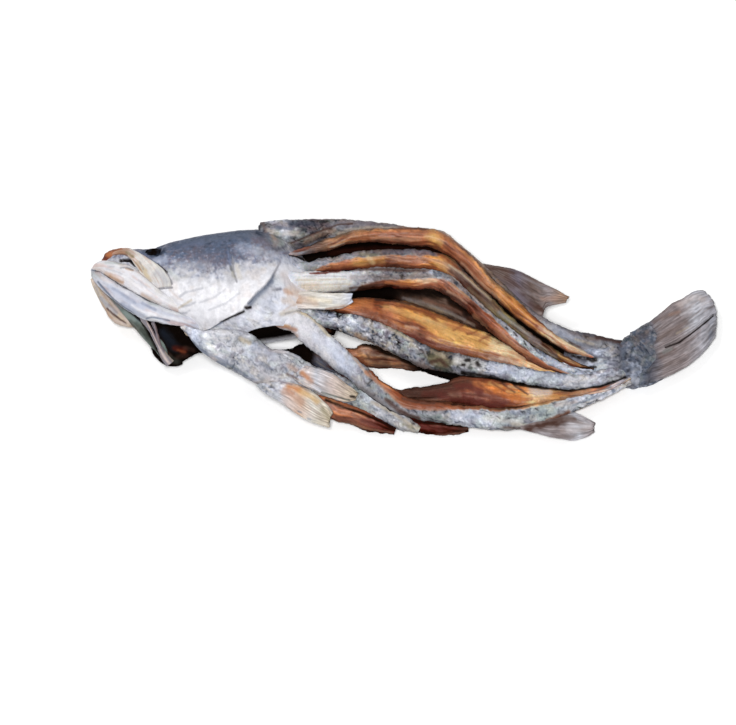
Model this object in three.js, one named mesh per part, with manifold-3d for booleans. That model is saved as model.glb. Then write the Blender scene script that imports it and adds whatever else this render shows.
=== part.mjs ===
// A dried barramundi: a whole fish with its flanks cut lengthwise into strips, which stay joined
// at the shoulder and at the tail. It lies on its right side on a flat surface, head to -X, back to +Y.
// Everything is in millimetres, +Z up.

import * as THREE from "three";
import { mergeVertices } from "three/addons/utils/BufferGeometryUtils.js";
import Module from "manifold-3d";

const wasm = await Module();
wasm.setup();

// Driving dimensions. The fish is 630 long as it lies. Its pieces are drawn as they look from
// 62 degrees above the surface, over the belly: so far across, so far up the view, so high above the surface.
const VIEW_TILT = THREE.MathUtils.degToRad(62);
const MIDDLE_HEIGHT = 36; // the fish's own middle plane, above the surface
const SKIN_COLOUR = 0xb4b3ba;
const SKIN_ROUGHNESS = 0.65;

const UP_PER_Y = Math.sin(VIEW_TILT);
const UP_PER_Z = Math.cos(VIEW_TILT);
const TO_VIEWER = new THREE.Vector3(0, -UP_PER_Z, UP_PER_Y);

function asSeen(across, up, height) {
  return new THREE.Vector3(across, (up - height * UP_PER_Z) / UP_PER_Y, height);
}

// The head and shoulder: sections along X, each an ellipse round the middle plane.
// Each row says how far across, the top and bottom of the outline as seen, and half the thickness.
const TRUNK = [
  [-305, 71, 64, 5],
  [-299, 76, 58, 10],
  [-288, 78, 50, 15],
  [-272, 79, 38, 20],
  [-254, 80, 25, 25],
  [-232, 87, 9, 30],
  [-204, 93, -3, 34],
  [-176, 97, -11, 37],
  [-150, 99, -16, 38],
  [-134, 98, -15, 36.5],
  [-120, 91, -13, 32.5],
  [-106, 76, -9, 25],
  [-92, 60, 7, 17],
  [-78, 49, 18, 9],
];
const TRUNK_STEPS = 24;
const TRUNK_SIDES = 22;
const TRUNK_SQUARE = 2.15; // 2 is a plain ellipse

// A value from a table's column at a place along it, by a smooth curve through the rows.
function smooth(rows, column, place) {
  const last = rows.length - 1;
  const row = Math.min(Math.floor(place), last - 1);
  const t = place - row;
  const at = (i) => {
    if (i < 0) return 2 * rows[0][column] - rows[1][column];
    if (i > last) return 2 * rows[last][column] - rows[last - 1][column];
    return rows[i][column];
  };
  const [a, b, c, d] = [at(row - 1), at(row), at(row + 1), at(row + 2)];
  return b + 0.5 * t * (c - a + t * (2 * a - 5 * b + 4 * c - d + t * (3 * (b - c) + d - a)));
}

// The trunk's section at a place along its table: its centre, half height and half thickness.
function trunkSection(place) {
  const [x, top, bottom, half] = [0, 1, 2, 3].map((column) => smooth(TRUNK, column, place));
  const rise = (top - bottom) / 2;
  const height = Math.sqrt(Math.max(rise ** 2 - (half * UP_PER_Z) ** 2, 1)) / UP_PER_Y;
  return { centre: asSeen(x, (top + bottom) / 2, MIDDLE_HEIGHT), height, half };
}

// The height above the surface of the trunk's skin where it is seen at this place.
function trunkSkin(across, up) {
  let low = 0;
  let high = TRUNK.length - 1;
  for (let i = 0; i < 30; i++) {
    const middle = (low + high) / 2;
    if (smooth(TRUNK, 0, middle) < across) low = middle;
    else high = middle;
  }
  const { centre, height, half } = trunkSection(low);
  const off = up - (centre.y * UP_PER_Y + centre.z * UP_PER_Z);
  const k = 1 / (height * UP_PER_Y) ** 2;
  const a = UP_PER_Z ** 2 * k + 1 / half ** 2;
  const b = -2 * off * UP_PER_Z * k;
  const c = off ** 2 * k - 1;
  const root = Math.sqrt(Math.max(b * b - 4 * a * c, 0));
  return MIDDLE_HEIGHT + (root - b) / (2 * a);
}

// A closed tube through rings of points, with both ends closed by a fan.
function tube(rings) {
  const around = rings[0].length;
  const positions = rings.flat().flatMap((p) => [p.x, p.y, p.z]);
  const faces = [];
  for (let i = 0; i + 1 < rings.length; i++) {
    for (let j = 0; j < around; j++) {
      const a = i * around + j;
      const b = i * around + ((j + 1) % around);
      faces.push(a, b, b + around, a, b + around, a + around);
    }
  }
  for (const [end, turn] of [[0, 1], [rings.length - 1, 0]]) {
    const ring = rings[end];
    const middle = ring.reduce((sum, p) => sum.add(p), new THREE.Vector3()).divideScalar(around);
    positions.push(middle.x, middle.y, middle.z);
    const hub = positions.length / 3 - 1;
    for (let j = 0; j < around; j++) {
      const a = end * around + j;
      const b = end * around + ((j + 1) % around);
      if (turn) faces.push(b, a, hub);
      else faces.push(a, b, hub);
    }
  }
  const geometry = new THREE.BufferGeometry();
  geometry.setAttribute("position", new THREE.Float32BufferAttribute(positions, 3));
  return geometry.setIndex(faces);
}

// A ribbon along stations, each [across, up, height, half width, half thickness, roll in degrees].
// At roll 0 it faces the viewer. Its section is a superellipse of that squareness, with its crest
// moved towards one edge by ridge, in `columns` strips across each face.
function ribbon(stations, shape = {}) {
  const { columns = 5, steps = 16, square = 2.2, ridge = 0, back = 1, uneven = 0.05 } = shape;
  const line = new THREE.CatmullRomCurve3(
    stations.map(([across, up, height]) => asSeen(across, up, height)), false, "catmullrom", 0.5);
  const crown = (a) => {
    const shifted = (a - ridge) / (a > ridge ? 1 - ridge : 1 + ridge);
    return (1 - Math.abs(shifted) ** square) ** (1 / square);
  };
  const rings = [];
  for (let i = 0; i <= steps; i++) {
    const t = i / steps;
    const place = t * (stations.length - 1);
    const [width, thick, roll] = [3, 4, 5].map((column) => smooth(stations, column, place));
    const centre = line.getPoint(t);
    const along = line.getTangent(t);
    const side = new THREE.Vector3().crossVectors(TO_VIEWER, along).normalize();
    const face = new THREE.Vector3().crossVectors(along, side).normalize();
    side.applyAxisAngle(along, THREE.MathUtils.degToRad(roll));
    face.applyAxisAngle(along, THREE.MathUtils.degToRad(roll));
    const point = (k, sign) => {
      const a = Math.cos((Math.PI * k) / columns);
      const wobble = 1 + uneven * Math.sin(2.1 * i + 1.3 * k) * Math.sin(0.7 * i + 2.9);
      return centre.clone()
        .addScaledVector(side, a * Math.max(width, 0.4) * wobble)
        .addScaledVector(face, sign * crown(a) * thick * (sign > 0 ? 1 : back));
    };
    const ring = [];
    for (let k = 0; k < columns; k++) ring.push(point(k, 1));
    for (let k = columns; k > 0; k--) ring.push(point(k, -1));
    rings.push(ring);
  }
  return tube(rings);
}

// A sheet between two edges: each station is [across, up, height] of one edge, the same of the other
// edge, and half the thickness. A pleated sheet is a fin, whose rays run from the first station to the last.
function sheet(stations, shape = {}) {
  const { columns = 5, steps = 8, square = 3, pleat = 0, ragged = 0 } = shape;
  const edge = (first) => new THREE.CatmullRomCurve3(
    stations.map((row) => asSeen(row[first], row[first + 1], row[first + 2])), false, "catmullrom", 0.5);
  const upper = edge(0);
  const lower = edge(3);
  const rings = [];
  for (let i = 0; i <= steps; i++) {
    const t = i / steps;
    const thick = smooth(stations, 6, t * (stations.length - 1));
    const [high, low] = [upper.getPoint(t), lower.getPoint(t)];
    const centre = high.clone().add(low).multiplyScalar(0.5);
    const side = high.clone().sub(low).multiplyScalar(0.5);
    const along = upper.getTangent(t).add(lower.getTangent(t)).normalize();
    const face = new THREE.Vector3().crossVectors(along, side).normalize();
    if (face.dot(TO_VIEWER) < 0) face.negate();
    const point = (k, sign) => {
      const a = Math.cos((Math.PI * k) / columns);
      const out = sign * (1 - Math.abs(a) ** square) ** (1 / square) * thick + (k % 2 ? pleat : -pleat);
      const end = i === steps ? ragged * ((k % 3) - 1) : 0;
      return centre.clone()
        .addScaledVector(side, a)
        .addScaledVector(face, out)
        .addScaledVector(along, end);
    };
    const ring = [];
    for (let k = 0; k < columns; k++) ring.push(point(k, 1));
    for (let k = columns; k > 0; k--) ring.push(point(k, -1));
    rings.push(ring);
  }
  return tube(rings);
}

// The same stations on the trunk's skin, where the third number is the lift off the skin.
function onTrunk(stations) {
  return stations.map(([across, up, lift, ...rest]) => [across, up, trunkSkin(across, up) + lift, ...rest]);
}

function edgesOnTrunk(stations) {
  return stations.map(([a, b, lift, c, d, farLift, thick]) =>
    [a, b, trunkSkin(a, b) + lift, c, d, trunkSkin(c, d) + farLift, thick]);
}

// The piece's twin on the fish's right side.
function mirrored(geometry) {
  const twin = geometry.clone();
  twin.scale(1, 1, -1).translate(0, 0, 2 * MIDDLE_HEIGHT);
  const index = twin.index.array;
  for (let i = 0; i < index.length; i += 3) [index[i + 1], index[i + 2]] = [index[i + 2], index[i + 1]];
  return twin;
}

function trunk() {
  const rings = [];
  for (let i = 0; i <= TRUNK_STEPS; i++) {
    const { centre, height, half } = trunkSection((i / TRUNK_STEPS) * (TRUNK.length - 1));
    const ring = [];
    for (let j = 0; j < TRUNK_SIDES; j++) {
      const angle = (2 * Math.PI * j) / TRUNK_SIDES;
      const round = (v) => Math.sign(v) * Math.abs(v) ** (2 / TRUNK_SQUARE);
      ring.push(new THREE.Vector3(
        centre.x,
        centre.y + height * round(Math.cos(angle)),
        centre.z + half * round(Math.sin(angle))));
    }
    rings.push(ring);
  }
  return tube(rings);
}

// The bones and flaps of the head, on the left side. Each is doubled on the right side.
const GILL_COVER = onTrunk([
  [-133, 90, -1, 8, 2.2, 6],
  [-135, 74, 0.5, 15, 2.4, 6],
  [-151, 54, 1, 18, 2.6, 6],
  [-172, 36, 1, 18, 2.6, 6],
  [-197, 19, 1, 16, 2.6, 6],
  [-222, 9, 0, 9, 2.2, 4],
]);
const MAXILLA = edgesOnTrunk([
  [-294, 78.5, 1, -298, 72, 0, 2.6],
  [-279, 79.5, 2, -283, 73.5, 1, 2.6],
  [-267, 75, 2.5, -275, 68, 1.5, 2.6],
  [-254, 67.5, 3, -268, 58.5, 2, 2.4],
  [-243, 59.5, 3, -262, 49.5, 2.5, 2.2],
  [-235, 49.5, 2.5, -256.5, 41, 2.5, 2],
  [-232.5, 41, 2, -254.5, 38.5, 2, 1.6],
]);
const LIP = [
  [-313, 58.5, 36, 3, 5, 0],
  [-308.5, 60.5, 45, 5, 6, 0],
  [-301, 60.5, 50, 7.5, 6, -6],
  [-291, 56.5, 53, 9.5, 6, -8],
  [-278, 50.5, 55, 11, 6, -8],
  [-263, 40.5, 56, 10, 6, -6],
  [-248, 31, 54.5, 7.5, 6, -4],
  [-234, 23.5, 52, 6, 4.2, 0],
  [-221, 17.5, 48, 4.5, 3, 0],
  [-210, 13, 44, 3, 2, 0],
];
const MANDIBLE = [
  [-312.5, 54, 36, 3, 5, 0],
  [-309, 51, 44, 5.5, 5, -10],
  [-300, 43.5, 50, 7, 5, -14],
  [-288, 34.5, 54, 8, 5, -14],
  [-273, 25, 56, 9.3, 5, -12],
  [-258, 17, 56, 9.3, 5.5, -6],
  [-242, 12, 53, 8.3, 5.5, 0],
  [-226, 7.5, 49, 6.3, 4.5, 0],
  [-212, 4, 43, 4.6, 3.5, 0],
  [-200, 1, 36, 3, 3, 0],
];
const EYE = { across: -254.5, up: 74, radius: 7.5, lift: -5.8 };
const RIGHT_MANDIBLE = [
  [-315, 50, 34, 2.5, 4, 0],
  [-310.5, 41, 30, 3.8, 4.5, 0],
  [-305, 31.5, 26, 4.8, 5, 0],
  [-298, 21.5, 23, 5.8, 5, 0],
  [-290.5, 12.5, 20, 7.4, 5, 0],
  [-281, 7.5, 18, 6.5, 5, 0],
  [-270, 5, 16, 5.5, 5, 0],
  [-256, 1, 16, 6, 5, 0],
  [-242, -3, 18.5, 6, 5, 0],
  [-226, -6, 22, 5, 4.5, 0],
  [-212, -5.9, 27, 4, 4, 0],
];
const SNOUT = onTrunk([
  [-304, 67.5, -3, 3.5, 4, 0],
  [-298, 72, -3, 4.8, 5, 0],
  [-289, 75.5, -4, 4.5, 5, 0],
  [-277, 75.5, -4, 3, 4, 0],
]);

// The soft floor of the mouth between the two jaw bones, and the throat that hangs behind it.
const GULAR = [
  [-303, 41, 29, 4, 5, 20],
  [-291.5, 28.5, 24, 6.5, 6, 20],
  [-280, 18, 22, 8, 7, 20],
  [-268, 8, 22, 9.5, 7, 15],
  [-256, -4.5, 22, 9, 6, 10],
  [-246.5, -18, 20, 7, 4, 0],
  [-240.5, -29.5, 19, 4.2, 2.5, 0],
];
const ISTHMUS = [
  [-262, 10, 50, 3, 4, 0],
  [-254, -2, 44, 3, 3, 0],
  [-247, -16, 33, 3.2, 3, 0],
  [-239, -29, 24, 4, 3, 0],
  [-233, -37, 19, 4, 2.5, 0],
];
const GILL_CURTAIN = [
  [-256, 8.5, 31, 6, 4, 0],
  [-242, -7, 24, 17, 4, 0],
  [-232.5, -17, 20, 22.5, 4, 0],
  [-222, -17, 20, 18.5, 4, 0],
  [-210, -17.5, 20, 10, 4, 0],
  [-198, -19.5, 22, 6.5, 5, 0],
];
const SHOULDER_LINING = [
  [-108, 10, 30, 5, 4, 0],
  [-93, 4, 27, 6, 4, 0],
  [-80, -1.5, 25, 5.5, 4, 0],
  [-69, -5.5, 23, 3, 3, 0],
];
const THROAT = [
  [-230, 0, 46, 2, 4, 0],
  [-212, -8, 48, 6, 6, 0],
  [-198, -14, 49, 11, 8, 5],
  [-182, -19, 47, 17, 10, 8],
  [-163, -25, 43, 20.5, 12, 8],
  [-141, -38, 39, 19, 11, 5],
  [-119, -44.5, 35, 20.5, 10, 0],
  [-104, -50, 31, 17, 9, 0],
  [-88, -55, 27, 12, 7, 0],
];

// The body cut into strips. Skin strips and flesh strips overlap, as the cut leaves both showing.
const BACK_RIDGE = [
  [-143, 92, 36, 12, 14, 0],
  [-132, 96, 37, 13, 15, 0],
  [-112, 95, 38, 15, 16, 0],
  [-84, 97, 40, 13, 15, 0],
  [-54, 99, 41, 11, 14, 0],
  [-19, 98, 41, 9, 13, 0],
  [12, 92.8, 41, 8.2, 12, 0],
  [36, 90.5, 41, 8.3, 12, 0],
  [66, 68, 37, 7, 11, 0],
  [96, 39, 33, 7, 11, 0],
  [126, 12, 28, 7, 11, 0],
  [156, -8, 22, 9, 11, 0],
  [186, -19.5, 17, 13, 11, 0],
  [216, -27.5, 14, 15.5, 11, 0],
];
const BACK_FLESH = [
  [-120, 72.5, 61, 1.5, 3, 0],
  [-108, 75, 55, 3, 4, 0],
  [-92, 79.5, 52, 5, 6, 10],
  [-73, 85, 53, 6, 7, 15],
  [-50, 91, 54, 7, 8, 15],
  [-26, 92.5, 54, 8, 8, 15],
  [1, 91.5, 54, 9.5, 9, 15],
  [31, 89.5, 54, 10, 9, 15],
  [50, 79, 52, 8, 8, 15],
  [70, 61, 48, 7.5, 8, 15],
  [91, 39, 43, 7.5, 7, 12],
  [116, 15.5, 37, 7.2, 7, 5],
  [141, -5, 30, 6.4, 6, 0],
  [166, -21, 25, 4.6, 5, 0],
  [188, -30, 23, 2.2, 4, 0],
  [203, -32.5, 21, 1, 3, 0],
];
const UPPER_STRIP = [
  [-126, 63, 67, 6, 3, 0],
  [-112, 61, 60, 7, 4.5, 0],
  [-96, 61.5, 50, 8, 6, 0],
  [-79, 63, 44, 8, 7, 0],
  [-50, 66.5, 42, 8, 7, 0],
  [-20, 68, 42, 8.2, 7, 0],
  [6, 66.5, 42, 8.2, 7, 0],
  [36, 63, 42, 8, 7, 0],
  [54, 51, 38, 8, 6.5, 0],
  [80, 28, 33, 7, 6, 0],
  [104, 6.5, 29, 6, 6, 0],
  [130, -13, 25, 5.2, 5.5, 0],
  [154, -28.5, 22, 4.4, 5, 0],
  [176, -38.5, 21, 2.6, 4, 0],
  [190, -42, 19, 1.4, 3, 0],
];
const MIDDLE_STRIP = [
  [-130, 46, 69, 9, 3, 0],
  [-112, 45, 62, 11, 5, 0],
  [-92, 45, 56, 11, 6, 0],
  [-66, 45.5, 55, 10.5, 7, 0],
  [-24, 50, 55, 10.4, 7, 0],
  [4, 48, 54, 10.6, 7, 0],
  [34, 47, 53, 10.2, 7, 0],
  [52, 36, 49, 8.8, 7, 0],
  [76, 14.5, 43, 8, 7, 0],
  [102, -7, 37, 8, 6, 0],
  [128, -26.5, 31, 7.4, 6, 0],
  [152, -39.5, 25, 6.2, 5, 0],
  [178, -48, 20, 4.5, 5, 0],
  [196, -50, 17, 3, 4, 0],
];
const SIDE_FLESH = [
  [-94, 26, 38, 7, 6, 0],
  [-64, 22, 36, 8, 5, -10],
  [-28, 13.5, 33, 14, 6, -20],
  [6, 4, 31, 18, 8, -20],
  [36, -8, 29, 19, 9, -20],
  [66, -16.5, 27, 17, 8, -20],
  [96, -26, 25, 13, 7, -15],
  [126, -37.5, 22, 9, 6, -10],
  [156, -48, 18, 5, 5, 0],
];
const SIDE_SKIN = [
  [-128, 14, 55, 6, 3, 0],
  [-110, 12.5, 48, 7.5, 6, 5],
  [-86, 9.5, 43.5, 8.5, 7, 12],
  [-64, 5, 42, 9.5, 7, 15],
  [-38, -3.5, 40, 11, 7, 15],
  [-10, -16.5, 37, 11, 7, 15],
  [22, -30, 33, 10.5, 7, 15],
  [56, -37.5, 30, 10, 7, 15],
  [96, -43.5, 26, 8.5, 6, 10],
  [136, -51.5, 21, 8, 6, 5],
  [176, -55, 17, 8.5, 7, 0],
  [206, -50, 15, 10, 8, 0],
  [228, -42, 14, 8.5, 4.5, 0],
];
const GIRDLE_STRIP = [
  [-140, 12, 58, 6, 3, 0],
  [-124, 9, 54, 9.5, 6, 0],
  [-108, 5.5, 50, 11, 7.5, 0],
  [-94, -5, 48, 11.5, 8, 0],
  [-79, -18, 45, 12, 7, 0],
  [-62, -35, 40, 12.4, 7, 0],
  [-42.5, -52, 35, 12.8, 7, 0],
  [-21.5, -68.3, 30, 12, 6, 0],
  [2, -81, 25, 11, 6, 6],
  [34, -86.5, 21, 11.5, 6, 8],
  [70, -90, 17, 11.5, 6, 8],
  [106, -91.5, 15, 11.5, 6, 8],
  [141, -86, 14, 11, 6, 5],
  [171, -76, 14, 7.5, 6, 0],
  [201, -65, 13, 5.2, 6, 0],
  [226, -53.5, 12, 5, 4, 0],
];
const BELLY_FLESH = [
  [-22, -61, 26, 3, 5, 0],
  [-6, -66.5, 24, 5, 5, -10],
  [18, -67.5, 22, 8, 6, -15],
  [41, -66.5, 21, 12, 8, -20],
  [60, -64, 20, 16, 10, -20],
  [86, -66.5, 19.5, 16, 9, -20],
  [116, -70, 18, 13, 7, -15],
  [146, -69.5, 16.5, 8.5, 6, -10],
  [176, -67, 16, 5, 5, 0],
  [202, -61.5, 16, 3.6, 5, 0],
  [226, -51, 15, 1.8, 4, 0],
];
const BELLY_SKIN = [
  [-110, -46, 29, 12, 7, 0],
  [-79, -57, 24, 12.5, 7, 0],
  [-54, -68, 19, 11.5, 6, 0],
  [-28, -82.5, 14, 10, 6, 0],
  [-2, -95.5, 10, 7.5, 5, 0],
  [15, -103, 7, 3.5, 4, 0],
];
const LOWEST_FLESH = [
  [-90, -73, 18, 8, 5, 0],
  [-69, -82.5, 15, 10, 5, 0],
  [-49, -88.5, 12, 10, 5, 0],
  [-29, -96.5, 9, 8.5, 5, 0],
  [-9, -104, 6, 4, 4, 0],
];
const BELLY_LINING = [
  [-18, -84, 12, 5, 5, 0],
  [8, -95, 8, 8, 5, 0],
  [34, -100, 6, 8, 5, 0],
  [54, -101.5, 5, 5.5, 4, 0],
  [64, -101.5, 5, 3, 4, 0],
];

// The right flank's strips lie flat under the others, with their inner side up.
const FAR_BACK = [
  [-118, 70, 24, 12, 9, 10],
  [-80, 76, 20, 13, 8, 15],
  [-40, 80, 18, 14, 8, 15],
  [0, 76, 17, 16, 8, 15],
  [34, 65, 16, 20, 8, 15],
  [60, 45, 14, 20, 8, 15],
  [92, 20, 12, 17, 7, 12],
  [124, -4, 11, 14, 7, 8],
  [156, -24, 11, 14, 8, 4],
  [192, -36, 11, 14, 9, 0],
];
const FAR_UPPER = [
  [-116, 50, 14, 15, 8, 10],
  [-74, 48, 10, 18, 6, 18],
  [-34, 39, 8, 18, 6, 18],
  [6, 28, 7, 18, 6, 18],
  [46, 14, 7, 19, 6, 18],
  [86, -6, 7, 16, 6, 15],
  [126, -26, 8, 13, 6, 10],
  [166, -41, 9, 11, 7, 5],
  [200, -42, 10, 11, 8, 0],
];
const FAR_MIDDLE = [
  [-92, -24, 14, 7, 6, 12],
  [-52, -29.5, 10, 8.5, 5, 16],
  [-40, -27.5, 9, 13.5, 5, 16],
  [-29, -29.5, 8, 13, 5, 16],
  [-4, -33, 8, 9, 5, 16],
  [26, -40, 8, 7, 5, 14],
  [56, -48.5, 9, 7.5, 5, 10],
  [96, -57, 9, 8, 5, 5],
  [136, -61, 10, 8, 6, 0],
  [176, -63, 10, 8, 6, 0],
  [206, -55, 11, 8, 7, 0],
];
const FAR_LOWER = [
  [-132, -29.5, 22, 6, 6, 0],
  [-112, -31, 18, 10.5, 6, 0],
  [-98, -31.5, 14, 15, 6, 8],
  [-82, -40, 11, 12, 6, 12],
  [-64, -49, 8, 10, 5, 15],
  [-44, -60, 6, 10, 5, 15],
  [-19, -76, 6, 8, 5, 10],
  [4, -87, 6, 7, 5, 0],
];

// The fins.
const FIRST_DORSAL = [
  [-146.5, 106.3, 37, 1.6, 2, 0],
  [-141, 105.3, 37, 3, 2, 0],
  [-128, 103.5, 38, 5.5, 2.2, 0],
  [-100, 105, 39, 5.5, 2.4, 0],
  [-70, 106.2, 40, 4, 2.4, 0],
  [-34, 104.5, 41, 2.5, 2, 0],
];
const SECOND_DORSAL = [
  [75, 66, 35, 79, 58, 34, 1.8],
  [88, 63.5, 34, 85, 53, 33, 2.2],
  [101, 61.5, 33.5, 95, 43, 32, 2.2],
  [115, 58, 33, 106, 32, 31, 2.2],
  [128, 52, 32, 119, 19, 29, 2],
  [139, 46, 31, 137, 8.5, 27, 1.8],
  [148, 41.5, 30, 143, 19, 27, 1.6],
  [158, 36.5, 29, 149, 22, 27, 1.5],
  [167, 31, 27, 163, 25.5, 27, 1.2],
];
const ANAL = [
  [114, -93, 13, 116, -102, 11, 3],
  [126, -91, 13, 130, -105, 10, 3.3],
  [140, -88.5, 13, 142, -108.5, 9, 3],
  [153, -86, 12, 155, -111, 8, 2.6],
  [166, -85, 11, 168, -112.5, 7, 2.2],
  [178, -89, 9, 180, -110, 6, 1.8],
  [188.5, -95, 8, 187.5, -105, 6, 1.4],
];
const PECTORAL = [
  [-124, 40, 65, -121, 25, 60, 4],
  [-114, 43.5, 65.5, -115, 19, 59, 3.6],
  [-97, 43.5, 64, -96, 17.5, 56, 2.8],
  [-80, 41, 62, -77, 17.5, 54, 2.2],
  [-65, 37.5, 60, -61, 19, 53, 1.6],
  [-53, 32.5, 58, -52, 23.5, 54, 1.2],
];
const PELVIC_UPPER = [
  [-110, -38, 42, -117, -47, 41, 3],
  [-97, -39.5, 43, -105, -56, 41, 3.6],
  [-82, -43, 41.5, -90, -63, 39, 3],
  [-68, -49, 39, -74, -70.5, 35, 2.5],
  [-54, -59, 35, -59, -74.5, 32, 2],
  [-47, -65.5, 33, -50, -72.5, 31, 1.5],
];
const PELVIC_LOWER = [
  [-131, -48, 37, -147, -59, 35, 4],
  [-119, -52.5, 36.5, -137, -67, 34, 4.2],
  [-105, -58, 34, -121, -76, 31, 3.6],
  [-91, -64, 31, -106, -87, 27, 3],
  [-78, -72, 27, -90, -95.5, 23, 2.4],
  [-69, -80, 25, -74, -100.5, 20, 1.8],
];
const TAIL_ROOT = [
  [160, -34, 14, 12, 8, 0],
  [180, -37, 14, 15, 9.5, 0],
  [200, -38, 14, 18.5, 11, 0],
  [216, -38, 13.5, 22.5, 12, 0],
  [230, -35.5, 13.5, 26.5, 12, 0],
  [243, -30.2, 12.5, 28.5, 9.5, 0],
  [253, -22.5, 12, 27.5, 6, 0],
  [262, -16.5, 11.5, 26, 2.5, 0],
];
const TAIL_UPPER_LOBE = [
  [230, -6, 13, 240, -30, 12, 6],
  [244, 1.5, 12.5, 253, -25, 12, 5],
  [257, 11.5, 12, 266, -19, 12, 4],
  [271, 22, 12, 280, -11.5, 11.5, 3.4],
  [284, 30, 11.5, 294, -3, 11, 3],
  [296, 36.5, 11, 308, 8, 10.5, 2.6],
  [304, 38, 11, 317.5, 14.5, 10, 2.2],
];
const TAIL_LOWER_LOBE = [
  [238, -25, 12, 236, -59, 12, 6],
  [251, -19, 11, 249, -55, 11, 5],
  [265, -14, 10, 264, -49.5, 10, 4],
  [280, -6, 9.5, 281, -41.5, 9.5, 3.4],
  [294, 3, 9, 295, -32, 9, 3],
  [307, 12.5, 8.5, 307, -21, 8.5, 2.6],
  [317.5, 18, 8, 315, -11, 8, 2.2],
];

const FIN = { columns: 7, steps: 6, pleat: 0.7, ragged: 1.5 };
const PLATE = { columns: 5, steps: 8, square: 3.2, uneven: 0 };
const SHORT = { columns: 4, steps: 7 };
const WEDGE_UP = { columns: 4, steps: 15, square: 1.7, ridge: 0.25 };
const WEDGE_DOWN = { columns: 4, steps: 15, square: 1.7, ridge: -0.3 };

function headPieces() {
  const left = [
    ribbon(GILL_COVER, PLATE),
    sheet(MAXILLA, { columns: 4, steps: 8 }),
    ribbon(LIP, { columns: 4, steps: 8 }),
  ];
  const eye = new THREE.SphereGeometry(EYE.radius, 12, 8);
  eye.deleteAttribute("normal").deleteAttribute("uv");
  const height = trunkSkin(EYE.across, EYE.up) + EYE.lift;
  eye.translate(...asSeen(EYE.across, EYE.up, height));
  left.push(mergeVertices(eye));
  return [
    trunk(),
    ...left,
    ...left.map(mirrored),
    ribbon(MANDIBLE, { columns: 4, steps: 9 }),
    ribbon(RIGHT_MANDIBLE, { columns: 4, steps: 9 }),
    ribbon(SNOUT, SHORT),
    ribbon(GULAR, SHORT),
    ribbon(ISTHMUS, SHORT),
    ribbon(GILL_CURTAIN, SHORT),
    ribbon(SHOULDER_LINING, { columns: 3, steps: 4 }),
    ribbon(THROAT, { columns: 5, steps: 10 }),
  ];
}

function strips() {
  return [
    ribbon(BACK_RIDGE, { columns: 4, steps: 17 }),
    ribbon(BACK_FLESH, WEDGE_UP),
    ribbon(UPPER_STRIP, WEDGE_UP),
    ribbon(MIDDLE_STRIP, WEDGE_UP),
    ribbon(SIDE_FLESH, WEDGE_DOWN),
    ribbon(SIDE_SKIN, { columns: 4, steps: 15 }),
    ribbon(GIRDLE_STRIP, { columns: 4, steps: 19 }),
    ribbon(BELLY_FLESH, WEDGE_DOWN),
    ribbon(BELLY_SKIN, SHORT),
    ribbon(LOWEST_FLESH, SHORT),
    ribbon(BELLY_LINING, SHORT),
    ribbon(FAR_BACK, { columns: 4, steps: 12 }),
    ribbon(FAR_UPPER, { columns: 4, steps: 11 }),
    ribbon(FAR_MIDDLE, { columns: 3, steps: 11 }),
    ribbon(FAR_LOWER, { columns: 4, steps: 9 }),
  ];
}

function fins() {
  return [
    ribbon(FIRST_DORSAL, { columns: 4, steps: 6 }),
    sheet(SECOND_DORSAL, FIN),
    sheet(ANAL, FIN),
    sheet(PECTORAL, FIN),
    mirrored(sheet(PECTORAL, FIN)),
    sheet(PELVIC_UPPER, FIN),
    sheet(PELVIC_LOWER, FIN),
    ribbon(TAIL_ROOT, { columns: 5, steps: 8 }),
    sheet(TAIL_UPPER_LOBE, FIN),
    sheet(TAIL_LOWER_LOBE, FIN),
  ];
}

function solid(geometry) {
  return new wasm.Manifold(new wasm.Mesh({
    numProp: 3,
    vertProperties: new Float32Array(geometry.attributes.position.array),
    triVerts: new Uint32Array(geometry.index.array),
  }));
}

// What would reach below the surface is cut off, which leaves the flat spots that the fish rests on.
function belowTheSurface() {
  const slab = new THREE.BoxGeometry(900, 600, 100);
  slab.deleteAttribute("normal").deleteAttribute("uv");
  slab.translate(0, 0, -50);
  return solid(mergeVertices(slab));
}

const joined = [...headPieces(), ...strips(), ...fins()]
  .map(solid)
  .reduce((whole, piece) => whole.add(piece))
  .subtract(belowTheSurface());
const made = joined.getMesh();
const geometry = new THREE.BufferGeometry();
geometry.setAttribute("position", new THREE.BufferAttribute(made.vertProperties, 3));
geometry.setIndex(new THREE.BufferAttribute(made.triVerts, 1));
geometry.computeBoundingBox();

const skin = new THREE.MeshStandardMaterial({ color: SKIN_COLOUR, roughness: SKIN_ROUGHNESS, metalness: 0 });
const fish = new THREE.Mesh(geometry, skin);
fish.name = "barramundi";
const middle = geometry.boundingBox.getCenter(new THREE.Vector3());
fish.position.set(-middle.x, -middle.y, 0); // the origin is under the middle of the fish, on the surface

const part = new THREE.Group();
part.add(fish);
export default part;
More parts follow.
